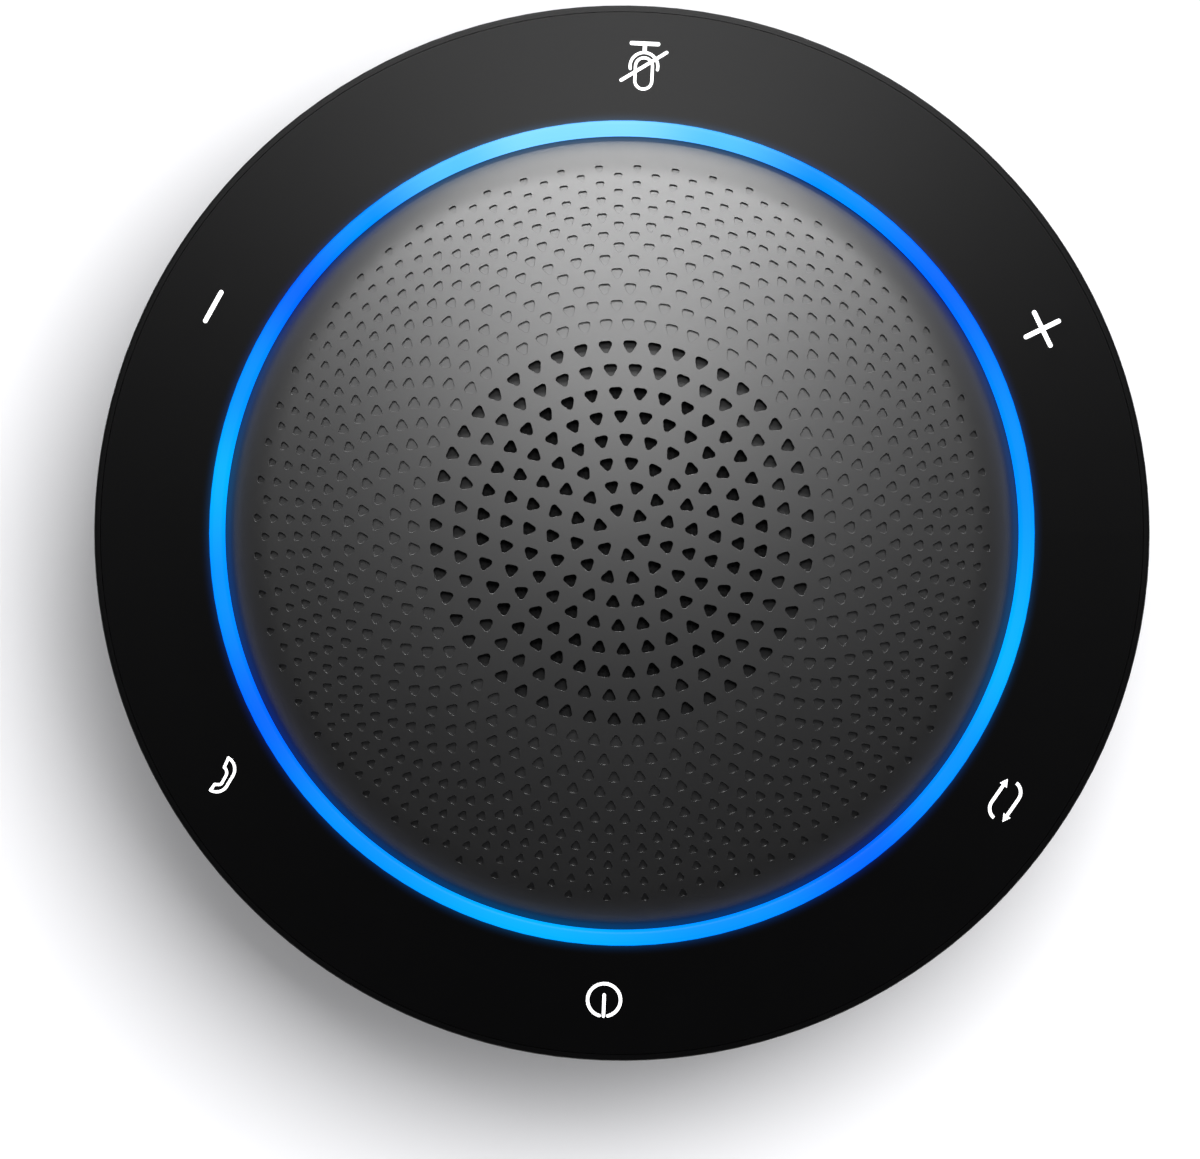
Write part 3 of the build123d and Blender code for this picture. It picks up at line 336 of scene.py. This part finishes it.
def ring_colour(tree, where):
    """Colour of the lit ring at this bearing round the device."""
    split = add_node(tree, "ShaderNodeSeparateXYZ")
    bearing = add_node(tree, "ShaderNodeMath", operation="ARCTAN2")
    turn = add_node(tree, "ShaderNodeMath", operation="MULTIPLY_ADD")
    turn.inputs[1].default_value = 1 / math.tau
    turn.inputs[2].default_value = 1.0
    wrap = add_node(tree, "ShaderNodeMath", operation="FRACT")
    ramp = add_node(tree, "ShaderNodeValToRGB")
    ramp.color_ramp.interpolation = "EASE"
    while len(ramp.color_ramp.elements) < len(RING_STOPS):
        ramp.color_ramp.elements.new(0.5)
    for element, (degrees, colour) in zip(ramp.color_ramp.elements, RING_STOPS):
        element.position = degrees / 360
        element.color = (*colour, 1)
    tree.links.new(where, split.inputs[0])
    tree.links.new(split.outputs["X"], bearing.inputs[0])
    tree.links.new(split.outputs["Y"], bearing.inputs[1])
    tree.links.new(bearing.outputs[0], turn.inputs[0])
    tree.links.new(turn.outputs[0], wrap.inputs[0])
    tree.links.new(wrap.outputs[0], ramp.inputs["Fac"])
    return ramp.outputs["Color"]


def lit_ring():
    """Milky light guide whose glow changes with the bearing round the device."""
    m, tree, shader = new_material("lit_ring")
    where = add_node(tree, "ShaderNodeTexCoord").outputs["Object"]
    tree.links.new(ring_colour(tree, where), shader.inputs["Emission Color"])
    tree.links.new(remap(tree, noise(tree, 900.0), 0.36, 0.44), shader.inputs["Roughness"])
    shader.inputs["Emission Strength"].default_value = 1.0
    shader.inputs["Base Color"].default_value = (0.001, 0.004, 0.01, 1)
    shader.inputs["Specular IOR Level"].default_value = 0.05
    return m


# Falloff of the painted ring glow towards its far edge.
PAINTED_GLOW_POWER = 3.0


def paint_ring_glow(m, edge, reach, strength):
    """Painted glow of the ring on a neighbour: emission in the ring's colour, strongest at the
    edge, gone this reach away.
    """
    tree = m.node_tree
    shader = next(n for n in tree.nodes if n.type == "BSDF_PRINCIPLED")
    where = add_node(tree, "ShaderNodeTexCoord").outputs["Object"]
    flat = add_node(tree, "ShaderNodeVectorMath", operation="MULTIPLY")
    flat.inputs[1].default_value = (1, 1, 0)
    radius = add_node(tree, "ShaderNodeVectorMath", operation="LENGTH")
    fade = add_node(tree, "ShaderNodeMapRange")
    fade.inputs["From Min"].default_value = (edge + reach) * MM
    fade.inputs["From Max"].default_value = edge * MM
    curve = add_node(tree, "ShaderNodeMath", operation="POWER")
    curve.inputs[1].default_value = PAINTED_GLOW_POWER
    level = add_node(tree, "ShaderNodeMath", operation="MULTIPLY")
    level.inputs[1].default_value = strength
    tree.links.new(where, flat.inputs[0])
    tree.links.new(flat.outputs["Vector"], radius.inputs[0])
    tree.links.new(radius.outputs["Value"], fade.inputs["Value"])
    tree.links.new(fade.outputs["Result"], curve.inputs[0])
    tree.links.new(curve.outputs[0], level.inputs[0])
    tree.links.new(ring_colour(tree, where), shader.inputs["Emission Color"])
    tree.links.new(level.outputs[0], shader.inputs["Emission Strength"])


def icon_white():
    """White inlay, a little brighter than paint because it is lit from behind."""
    m = moulded("icon_white", (0.85, 0.85, 0.87), 0.4, height=0.002)
    shader = next(n for n in m.node_tree.nodes if n.type == "BSDF_PRINCIPLED")
    shader.inputs["Emission Color"].default_value = (1, 1, 1, 1)
    shader.inputs["Emission Strength"].default_value = 0.85
    return m


band_plastic = moulded(
    "band_plastic", (0.001, 0.001, 0.0012), 0.44, grain=14000, height=0.002, specular=0.12
)
housing_plastic = moulded(
    "housing_plastic", (0.0016, 0.0016, 0.0018), 0.42, grain=7000, height=0.004, specular=0.12
)
grille_plastic = moulded(
    "grille_plastic", (0.004, 0.004, 0.0046), 0.48, grain=11000, height=0.003, specular=1.0
)
# Painted glow: emission in the ring's colour near the ring, on the band and on the dome's rolled
# edge.
paint_ring_glow(band_plastic, BAND_EDGE, 1.1, 0.05)
paint_ring_glow(grille_plastic, DOME_RADIUS, -1.8, 0.007)
recess_plastic = moulded("recess_plastic", (0.004, 0.004, 0.0045), 0.6, grain=11000, height=0.003)
foot_rubber = moulded(
    "foot_rubber", (0.018, 0.018, 0.02), 0.75, grain=5000, height=0.01, specular=0.3
)
soft_rubber = moulded("soft_rubber", (0.01, 0.01, 0.01), 0.65, grain=5000, height=0.008)
mesh_fabric = woven("mesh_fabric", (0.0006, 0.0006, 0.0007), (0.004, 0.004, 0.0045), 4200)
board_green = circuit("board_green")
film_amber = moulded("film_amber", (0.35, 0.16, 0.03), 0.25, grain=3000, height=0.001)
lamp_body = moulded("lamp_body", (0.75, 0.72, 0.45), 0.35, grain=6000, height=0.002)
chip_black = moulded("chip_black", (0.012, 0.012, 0.012), 0.55, grain=12000, height=0.004)
sheet_tin = metal("sheet_tin", (0.62, 0.62, 0.64), 0.3, (1, 12, 1), metallic=0.7)
can_aluminium = metal("can_aluminium", (0.75, 0.75, 0.77), 0.22, (1, 1, 9))
frame_plastic = moulded("frame_plastic", (0.015, 0.015, 0.016), 0.6, grain=4000, height=0.008)
ferrite = moulded("ferrite", (0.04, 0.04, 0.045), 0.7, grain=9000, height=0.01, specular=0.35)
pole_steel = metal("pole_steel", (0.55, 0.56, 0.58), 0.32)
copper_winding = metal("copper_winding", (0.72, 0.3, 0.1), 0.3, (1, 1, 40), 1500)
former_film = moulded("former_film", (0.4, 0.2, 0.05), 0.4, grain=4000, height=0.002)
pulp_cone = moulded("pulp_cone", (0.02, 0.02, 0.022), 0.85, grain=2600, height=0.03, specular=0.2)
spider_cloth = woven("spider_cloth", (0.22, 0.12, 0.03), (0.5, 0.32, 0.1), 1600)
foam = moulded("foam", (0.03, 0.03, 0.032), 0.95, grain=2200, height=0.06, specular=0.1)
cell_wrap = metal("cell_wrap", (0.6, 0.62, 0.66), 0.38, None, 900)
screw_steel = metal("screw_steel", (0.12, 0.12, 0.13), 0.35)
port_steel = metal("port_steel", (0.68, 0.69, 0.71), 0.28, metallic=0.7)
plug_gold = metal("plug_gold", (0.92, 0.78, 0.52), 0.3, (1, 8, 1), metallic=0.55)
insulator = moulded("insulator", (0.75, 0.75, 0.72), 0.45, grain=8000, height=0.003)
contact_gold = metal("contact_gold", (1.0, 0.72, 0.3), 0.2)
dongle_plastic = moulded("dongle_plastic", (0.03, 0.03, 0.033), 0.42, grain=10000, height=0.004)
wire_red = moulded("wire_red", (0.35, 0.02, 0.02), 0.45, grain=3000, height=0.002)

NODE_MATERIALS = {
    icon_white(): [n for n in nodes if n.endswith("_icon")],
    band_plastic: ["control_ring"],
    housing_plastic: ["upper_housing", "base_shell"],
    mesh_fabric: ["acoustic_mesh"],
    foot_rubber: ["foot_ring"],
    soft_rubber: ["mic_boots", "surround"],
    board_green: [
        "led_board", "mic_boards", "speaker_terminal", "main_board", "wireless_module",
        "dongle_board",
    ],
    film_amber: ["touch_sensor"],
    lamp_body: ["leds"],
    chip_black: ["audio_processor", "power_amplifier", "usb_tongue", "dongle_radio"],
    sheet_tin: ["wireless_shield"],
    can_aluminium: ["capacitors"],
    frame_plastic: ["speaker_basket"],
    ferrite: ["speaker_magnet"],
    pole_steel: ["speaker_top_plate", "speaker_yoke"],
    copper_winding: ["voice_coil"],
    former_film: ["coil_former"],
    pulp_cone: ["cone", "dust_cap"],
    spider_cloth: ["spider"],
    foam: ["speaker_gasket", "battery_pad"],
    cell_wrap: ["battery"],
    screw_steel: ["speaker_screws", "housing_screws"],
    port_steel: ["usb_port"],
    plug_gold: ["dongle_shell"],
    insulator: ["dongle_tongue", "battery_connector"],
    contact_gold: ["dongle_contacts"],
    dongle_plastic: ["dongle_body", "dongle_cap"],
    wire_red: ["speaker_leads"],
}
for material, names in NODE_MATERIALS.items():
    for name in names:
        mesh = nodes[name].data
        mesh.materials.clear()
        mesh.materials.append(material)

# ==== Grille dome =================================================================

INNER_COUNT = 6  # holes added by each inner ring
OUTER_COUNT = 60  # holes in each outer ring
SPOKE = math.radians(102.6)  # angle from +X of the spoke that all inner rings share
FIRST_OUTER = 20.44
FIRST_STEP = 1.848
STEP_RATIO = 0.9
LEAST_STEP = 0.806
HOLE_SIZE = 1.0  # circumradius before rounding
HOLE_ROUNDING = 0.3
OUTER_FIRST_SCALE = 0.92
OUTER_LAST_SCALE = 0.58
OUTER_TURN = math.radians(3)  # odd outer rings stand half a pitch on
LAG_STEP = 0.25  # degrees; the first outer rings stand a little further round
LAG_END = 13
DIMPLE_DEPTH = 0.25
BLIND_DEPTH = 0.9
CHAMFER = 0.05
CORNER_STEPS = 4


def hole_outline(size, rounding):
    """Rounded triangle round the origin with one corner towards -X, counterclockwise."""
    points = []
    for corner in range(3):
        middle = math.pi + corner * math.tau / 3
        reach = size - 2 * rounding
        for i in range(CORNER_STEPS + 1):
            a = middle + (i / CORNER_STEPS - 0.5) * math.tau / 3
            points.append(
                (
                    reach * math.cos(middle) + rounding * math.cos(a),
                    reach * math.sin(middle) + rounding * math.sin(a),
                )
            )
    return points


def hole_rings():
    """(ring number, radius, angles, scale) of every ring of holes."""
    rings = []
    for n in range(1, BLIND_RINGS + 1):
        angles = [SPOKE + k * math.tau / (INNER_COUNT * n) for k in range(INNER_COUNT * n)]
        rings.append((n, HOLE_PITCH * n, angles, 1.0))
    radius = FIRST_OUTER
    step = FIRST_STEP
    for n in range(BLIND_RINGS + 1, LAST_RING + 1):
        share = (n - BLIND_RINGS - 1) / (LAST_RING - BLIND_RINGS - 1)
        scale = OUTER_FIRST_SCALE + (OUTER_LAST_SCALE - OUTER_FIRST_SCALE) * share
        lag = LAG_STEP * (1 + math.ceil((LAG_END - n) / 2)) if n < LAG_END else 0.0
        start = SPOKE + math.radians(lag) + (OUTER_TURN if n % 2 else 0)
        angles = [start + k * math.tau / OUTER_COUNT for k in range(OUTER_COUNT)]
        rings.append((n, radius, angles, scale))
        radius += step
        step = max(step * STEP_RATIO, LEAST_STEP)
    return rings


def placed(outline, radius, angle):
    """The outline moved out to this radius and turned to this angle."""
    c = math.cos(angle)
    s = math.sin(angle)
    return [(c * (radius + x) - s * y, s * (radius + x) + c * y) for x, y in outline]


class Shell:
    """Collects vertices, faces and their corner normals for one smooth mesh."""

    def __init__(self):
        self.points = []
        self.faces = []
        self.normals = []
        self.slots = []

    def point(self, x, y, z):
        self.points.append((x * MM, y * MM, z * MM))
        return len(self.points) - 1

    def face(self, corners, normals, slot=0):
        self.faces.append(corners)
        self.normals.extend(normals)
        self.slots.append(slot)

    def build(self, name, materials):
        mesh = bpy.data.meshes.new(name)
        mesh.from_pydata(self.points, [], self.faces)
        for material in materials:
            mesh.materials.append(material)
        mesh.polygons.foreach_set("material_index", self.slots)
        mesh.polygons.foreach_set("use_smooth", [True] * len(self.faces))
        mesh.normals_split_custom_set([tuple(n) for n in self.normals])
        piece = bpy.data.objects.new(name, mesh)
        bpy.context.scene.collection.objects.link(piece)
        return piece


def circle(radius, count, phase=0.0):
    turns = [phase + k * math.tau / count for k in range(count)]
    return [(radius * math.cos(t), radius * math.sin(t)) for t in turns]


EDGE_COUNT = 360
MERGE = 1e-7
EDGE_ROWS = 8
EDGE_POINTS = 240
EDGE_START = 0.55  # first row of loose points outside the last ring of holes
UNDER_START = 16
UNDER_POINTS = 180


def triangulate(boundary, outlines, loose):
    """Triangles of the disc inside the boundary, leaving out the outlines.

    Returns points, triangles and the numbers of the points on the boundary and on each outline.
    """
    points = list(boundary)
    rims = [list(range(len(boundary)))]
    for outline in outlines:
        rims.append(list(range(len(points), len(points) + len(outline))))
        points.extend(outline)
    points.extend(loose)
    flat = [Vector(p) for p in points]
    verts, _, faces, sources, _, origins = delaunay_2d_cdt(flat, [], rims, 1, MERGE)
    number = {}
    for i, originals in enumerate(sources):
        for o in originals:
            number[o] = i
    kept = [list(f) for f, o in zip(faces, origins) if list(o) == [0]]
    rims = [[number[i] for i in rim] for rim in rims]
    return [(v.x, v.y) for v in verts], kept, rims[0], rims[1:]


def loose_points(rings):
    """Points between the holes and over the rolled edge, so that the skin stays round."""
    points = [(0.0, 0.0)]
    for (n, radius, _, _), following in zip(rings, rings[1:]):
        between = (radius + following[1]) / 2
        count = len(following[2]) if n < BLIND_RINGS else 2 * OUTER_COUNT
        points += circle(between, count, following[2][0] + math.pi / len(following[2]))
    last = rings[-1][1]
    for i in range(1, EDGE_ROWS):
        radius = last + EDGE_START + (DOME_RADIUS - last - EDGE_START) * i / EDGE_ROWS
        points += circle(radius, EDGE_POINTS, i * math.pi / EDGE_POINTS)
    return points


def build_dome():
    """The perforated dome as one closed shell: skin, through holes, blind holes, dimples, skirt."""
    shell = Shell()
    rings = hole_rings()
    holes = []
    for n, radius, angles, scale in rings:
        mouth = hole_outline((HOLE_SIZE + CHAMFER) * scale, (HOLE_ROUNDING + CHAMFER / 2) * scale)
        shaft = hole_outline(HOLE_SIZE * scale, HOLE_ROUNDING * scale)
        for angle in angles:
            holes.append(
                (n, placed(mouth, radius, angle), placed(shaft, radius, angle), radius, angle)
            )
    flat, triangles, boundary, rims = triangulate(
        circle(DOME_RADIUS, EDGE_COUNT), [h[1] for h in holes], loose_points(rings)
    )
    top = [shell.point(x, y, dome_height(math.hypot(x, y))) for x, y in flat]
    up = [dome_normal(x, y) for x, y in flat]
    for tri in triangles:
        shell.face([top[i] for i in tri], [up[i] for i in tri])

    inner_radius = DOME_RADIUS - DOME_WALL
    through = [h for h in holes if h[0] <= THROUGH_RINGS]
    under_loose = []
    for r in range(UNDER_START, int(inner_radius)):
        under_loose += circle(r, UNDER_POINTS, r)
    under_flat, under_triangles, under_boundary, under_rims = triangulate(
        circle(inner_radius, EDGE_COUNT), [h[2] for h in through], under_loose
    )
    under = [shell.point(x, y, dome_height(math.hypot(x, y), DOME_WALL)) for x, y in under_flat]
    down = [-dome_normal(x, y) for x, y in under_flat]
    for tri in under_triangles:
        shell.face([under[i] for i in reversed(tri)], [down[i] for i in reversed(tri)])

    through_number = 0
    for hole, rim in zip(holes, rims):
        n, _, lip_points, radius, angle = hole
        count = len(rim)
        centre = (radius * math.cos(angle), radius * math.sin(angle))
        lip = []
        for x, y in lip_points:
            lip.append(shell.point(x, y, dome_height(math.hypot(x, y)) - CHAMFER))
        inward = []
        for x, y in lip_points:
            away = Vector((centre[0] - x, centre[1] - y, 0)).normalized()
            inward.append(away)
        slopes = [(inward[i] + up[rim[i]]).normalized() for i in range(count)]
        for i in range(count):
            j = (i + 1) % count
            shell.face(
                [top[rim[i]], lip[i], lip[j], top[rim[j]]][::-1],
                [slopes[i], slopes[i], slopes[j], slopes[j]][::-1],
            )
        if n <= THROUGH_RINGS:
            floor = [under[k] for k in under_rims[through_number]]
            through_number += 1
        else:
            depth = BLIND_DEPTH if n <= BLIND_RINGS else DIMPLE_DEPTH
            floor = [
                shell.point(x, y, dome_height(math.hypot(x, y)) - depth) for x, y in lip_points
            ]
        wall_slot = 1 if n <= BLIND_RINGS else 0
        for i in range(count):
            j = (i + 1) % count
            shell.face(
                [lip[i], floor[i], floor[j], lip[j]][::-1],
                [inward[i], inward[i], inward[j], inward[j]][::-1],
                wall_slot,
            )
        if n > THROUGH_RINGS:
            hub = shell.point(*centre, dome_height(radius) - depth)
            normal = dome_normal(*centre)
            for i in range(count):
                j = (i + 1) % count
                shell.face([hub, floor[i], floor[j]], [normal] * 3, wall_slot)

    share = inner_radius / DOME_RADIUS
    outward = []
    foot_out = []
    foot_in = []
    for x, y in (flat[k] for k in boundary):
        outward.append(Vector((x / DOME_RADIUS, y / DOME_RADIUS, 0)))
        foot_out.append(shell.point(x, y, DOME_FOOT))
        foot_in.append(shell.point(x * share, y * share, DOME_FOOT))
    below = Vector((0, 0, -1))
    for i in range(EDGE_COUNT):
        j = (i + 1) % EDGE_COUNT
        a, b = outward[i], outward[j]
        shell.face([top[boundary[i]], foot_out[i], foot_out[j], top[boundary[j]]], [a, a, b, b])
        shell.face([foot_out[i], foot_in[i], foot_in[j], foot_out[j]], [below] * 4)
        under_here = under[under_boundary[i]]
        under_next = under[under_boundary[j]]
        shell.face([foot_in[i], under_here, under_next, foot_in[j]], [-a, -a, -b, -b])
    return shell.build("grille_skin", [grille_plastic, recess_plastic])


dome = build_dome()
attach(dome, "housing")
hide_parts("grille_dome")

# ==== Light guide =================================================================


LATHE_SHARP = 40  # degrees; an edge bent more than this stays sharp


def lathe(name, profile, material, count=360):
    """A closed ring from an outline of (radius, height) in millimetres, counterclockwise."""
    mesh = bpy.data.meshes.new(name)
    points = []
    for k in range(count):
        a = k * math.tau / count
        points += [(r * MM * math.cos(a), r * MM * math.sin(a), z * MM) for r, z in profile]
    size = len(profile)
    faces = []
    for k in range(count):
        here = k * size
        after = (k + 1) % count * size
        for i in range(size):
            j = (i + 1) % size
            faces.append((here + i, here + j, after + j, after + i)[::-1])
    mesh.from_pydata(points, [], faces)
    mesh.materials.append(material)
    mesh.shade_smooth()
    mesh.set_sharp_from_angle(angle=math.radians(LATHE_SHARP))
    piece = bpy.data.objects.new(name, mesh)
    bpy.context.scene.collection.objects.link(piece)
    return piece


LIGHT_TOP = light_high.z / MM
LIGHT_FOOT = light_low.z / MM
FLANGE_OUTER = light_high.x / MM
LIGHT_WIDTH = 1.4
FLANGE_OUTSIDE = 0.4
FLANGE_INSIDE = 1.1
FLANGE_HEIGHT = 1.2
CROWN = 0.35  # rounding of the ring's two upper edges
CROWN_STEPS = 6
LIGHT_OUTER = FLANGE_OUTER - FLANGE_OUTSIDE
LIGHT_INNER = LIGHT_OUTER - LIGHT_WIDTH
FLANGE_INNER = LIGHT_INNER - FLANGE_INSIDE
FLANGE_TOP = LIGHT_FOOT + FLANGE_HEIGHT


def arc(cx, cz, radius, start, end, steps):
    """Points on an arc from one angle in degrees to another."""
    turn = [math.radians(start + (end - start) * i / steps) for i in range(steps + 1)]
    return [(cx + radius * math.cos(t), cz + radius * math.sin(t)) for t in turn]


guide_profile = [
    (FLANGE_INNER, LIGHT_FOOT),
    (FLANGE_OUTER, LIGHT_FOOT),
    (FLANGE_OUTER, FLANGE_TOP),
    (LIGHT_OUTER, FLANGE_TOP),
]
guide_profile += arc(LIGHT_OUTER - CROWN, LIGHT_TOP - CROWN, CROWN, 0, 90, CROWN_STEPS)
guide_profile += arc(LIGHT_INNER + CROWN, LIGHT_TOP - CROWN, CROWN, 90, 180, CROWN_STEPS)
guide_profile += [(LIGHT_INNER, FLANGE_TOP), (FLANGE_INNER, FLANGE_TOP)]
light_guide = lathe("light_guide", guide_profile, lit_ring())
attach(light_guide, "housing")
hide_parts("light_ring")

# ==== Surround and spider =========================================================

# Both join the housing to the moving cone.
surround_low, surround_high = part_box("surround")
ROLL_RADIUS = 1.9
ROLL_SKIN = 0.3
ROLL_GLUE = 1.1  # width glued to the basket's flange
ROLL_INSET = 0.2  # from the flange's inner edge to the roll
ROLL_STEPS = 24
ROLL_COUNT = 180
ROLL_FACE = surround_high.z / MM - ROLL_RADIUS
ROLL_EDGE = surround_high.x / MM
ROLL_DROP = surround_low.z / MM
ROLL_MIDDLE = ROLL_EDGE - ROLL_GLUE - ROLL_INSET - ROLL_RADIUS

lap_angle = math.degrees(math.asin(ROLL_SKIN / ROLL_RADIUS))
roll_inside = ROLL_RADIUS - ROLL_SKIN
roll_profile = [
    (ROLL_MIDDLE - roll_inside, ROLL_DROP),
    *arc(ROLL_MIDDLE, ROLL_FACE, roll_inside, 180, 0, ROLL_STEPS),
    (ROLL_EDGE, ROLL_FACE),
    (ROLL_EDGE, ROLL_FACE + ROLL_SKIN),
    *arc(ROLL_MIDDLE, ROLL_FACE, ROLL_RADIUS, lap_angle, 180, ROLL_STEPS),
    (ROLL_MIDDLE - ROLL_RADIUS, ROLL_DROP),
]
surround_roll = lathe("surround_roll", roll_profile, soft_rubber, ROLL_COUNT)
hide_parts("surround")
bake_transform(surround_roll)

spider_low, spider_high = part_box("spider")
SPIDER_OUTER = spider_high.x / MM
FORMER_GAP = 0.05
SPIDER_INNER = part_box("coil_former")[1].x / MM + FORMER_GAP
SPIDER_SECTORS = 12
SECTOR_COLUMNS = 6
SPIDER_ROWS = 48
FLAT_EDGE = 1.0  # uncorrugated width at both edges
WAVES = 4
WAVE_HEIGHT = 0.22
WEDGE_SHARP = 60  # degrees


def spider_lift(r):
    """Height of the corrugation at this radius."""
    share = (r - SPIDER_INNER - FLAT_EDGE) / (SPIDER_OUTER - SPIDER_INNER - 2 * FLAT_EDGE)
    if 0 < share < 1:
        return WAVE_HEIGHT * math.sin(share * WAVES * math.tau)
    return 0.0


def spider_sector(number):
    """One closed wedge of the corrugated spider."""
    width = math.tau / SPIDER_SECTORS
    start = number * width
    rows = SPIDER_ROWS + 1
    columns = SECTOR_COLUMNS + 1
    points = []
    for height in (spider_low.z / MM, spider_high.z / MM):
        for i in range(rows):
            r = SPIDER_INNER + (SPIDER_OUTER - SPIDER_INNER) * i / SPIDER_ROWS
            for j in range(columns):
                a = start + width * j / SECTOR_COLUMNS
                z = height + spider_lift(r)
                points.append((r * MM * math.cos(a), r * MM * math.sin(a), z * MM))
    layer = rows * columns
    faces = []
    for i in range(SPIDER_ROWS):
        for j in range(SECTOR_COLUMNS):
            a = i * columns + j
            faces.append((a, a + 1, a + columns + 1, a + columns))
            b = a + layer
            faces.append((b, b + columns, b + columns + 1, b + 1))
        left = i * columns
        right = left + SECTOR_COLUMNS
        for a, b in ((left, left + columns), (right + columns, right)):
            faces.append((a, b, b + layer, a + layer))
    for j in range(SECTOR_COLUMNS):
        far = SPIDER_ROWS * columns + j
        faces.append((j + 1, j, j + layer, j + 1 + layer))
        faces.append((far, far + 1, far + 1 + layer, far + layer))
    name = f"spider_sector_{number + 1:02d}"
    mesh = bpy.data.meshes.new(name)
    mesh.from_pydata(points, [], faces)
    mesh.materials.append(spider_cloth)
    mesh.shade_smooth()
    mesh.set_sharp_from_angle(angle=math.radians(WEDGE_SHARP))
    piece = bpy.data.objects.new(name, mesh)
    bpy.context.scene.collection.objects.link(piece)
    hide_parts("spider")
    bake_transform(piece)


for sector in range(SPIDER_SECTORS):
    spider_sector(sector)

# ==== Floor =======================================================================

FLOOR_SIZE = 3.0
floor_mesh = bpy.data.meshes.new("floor")
floor_builder = bmesh.new()
bmesh.ops.create_grid(floor_builder, x_segments=1, y_segments=1, size=FLOOR_SIZE)
floor_builder.to_mesh(floor_mesh)
floor_builder.free()
floor = bpy.data.objects.new("floor", floor_mesh)
pale_floor = moulded("pale_floor", (0.86, 0.86, 0.88), 0.9, 300, 0.0, 0.2, 0.0)
floor_mesh.materials.append(pale_floor)
bpy.context.scene.collection.objects.link(floor)
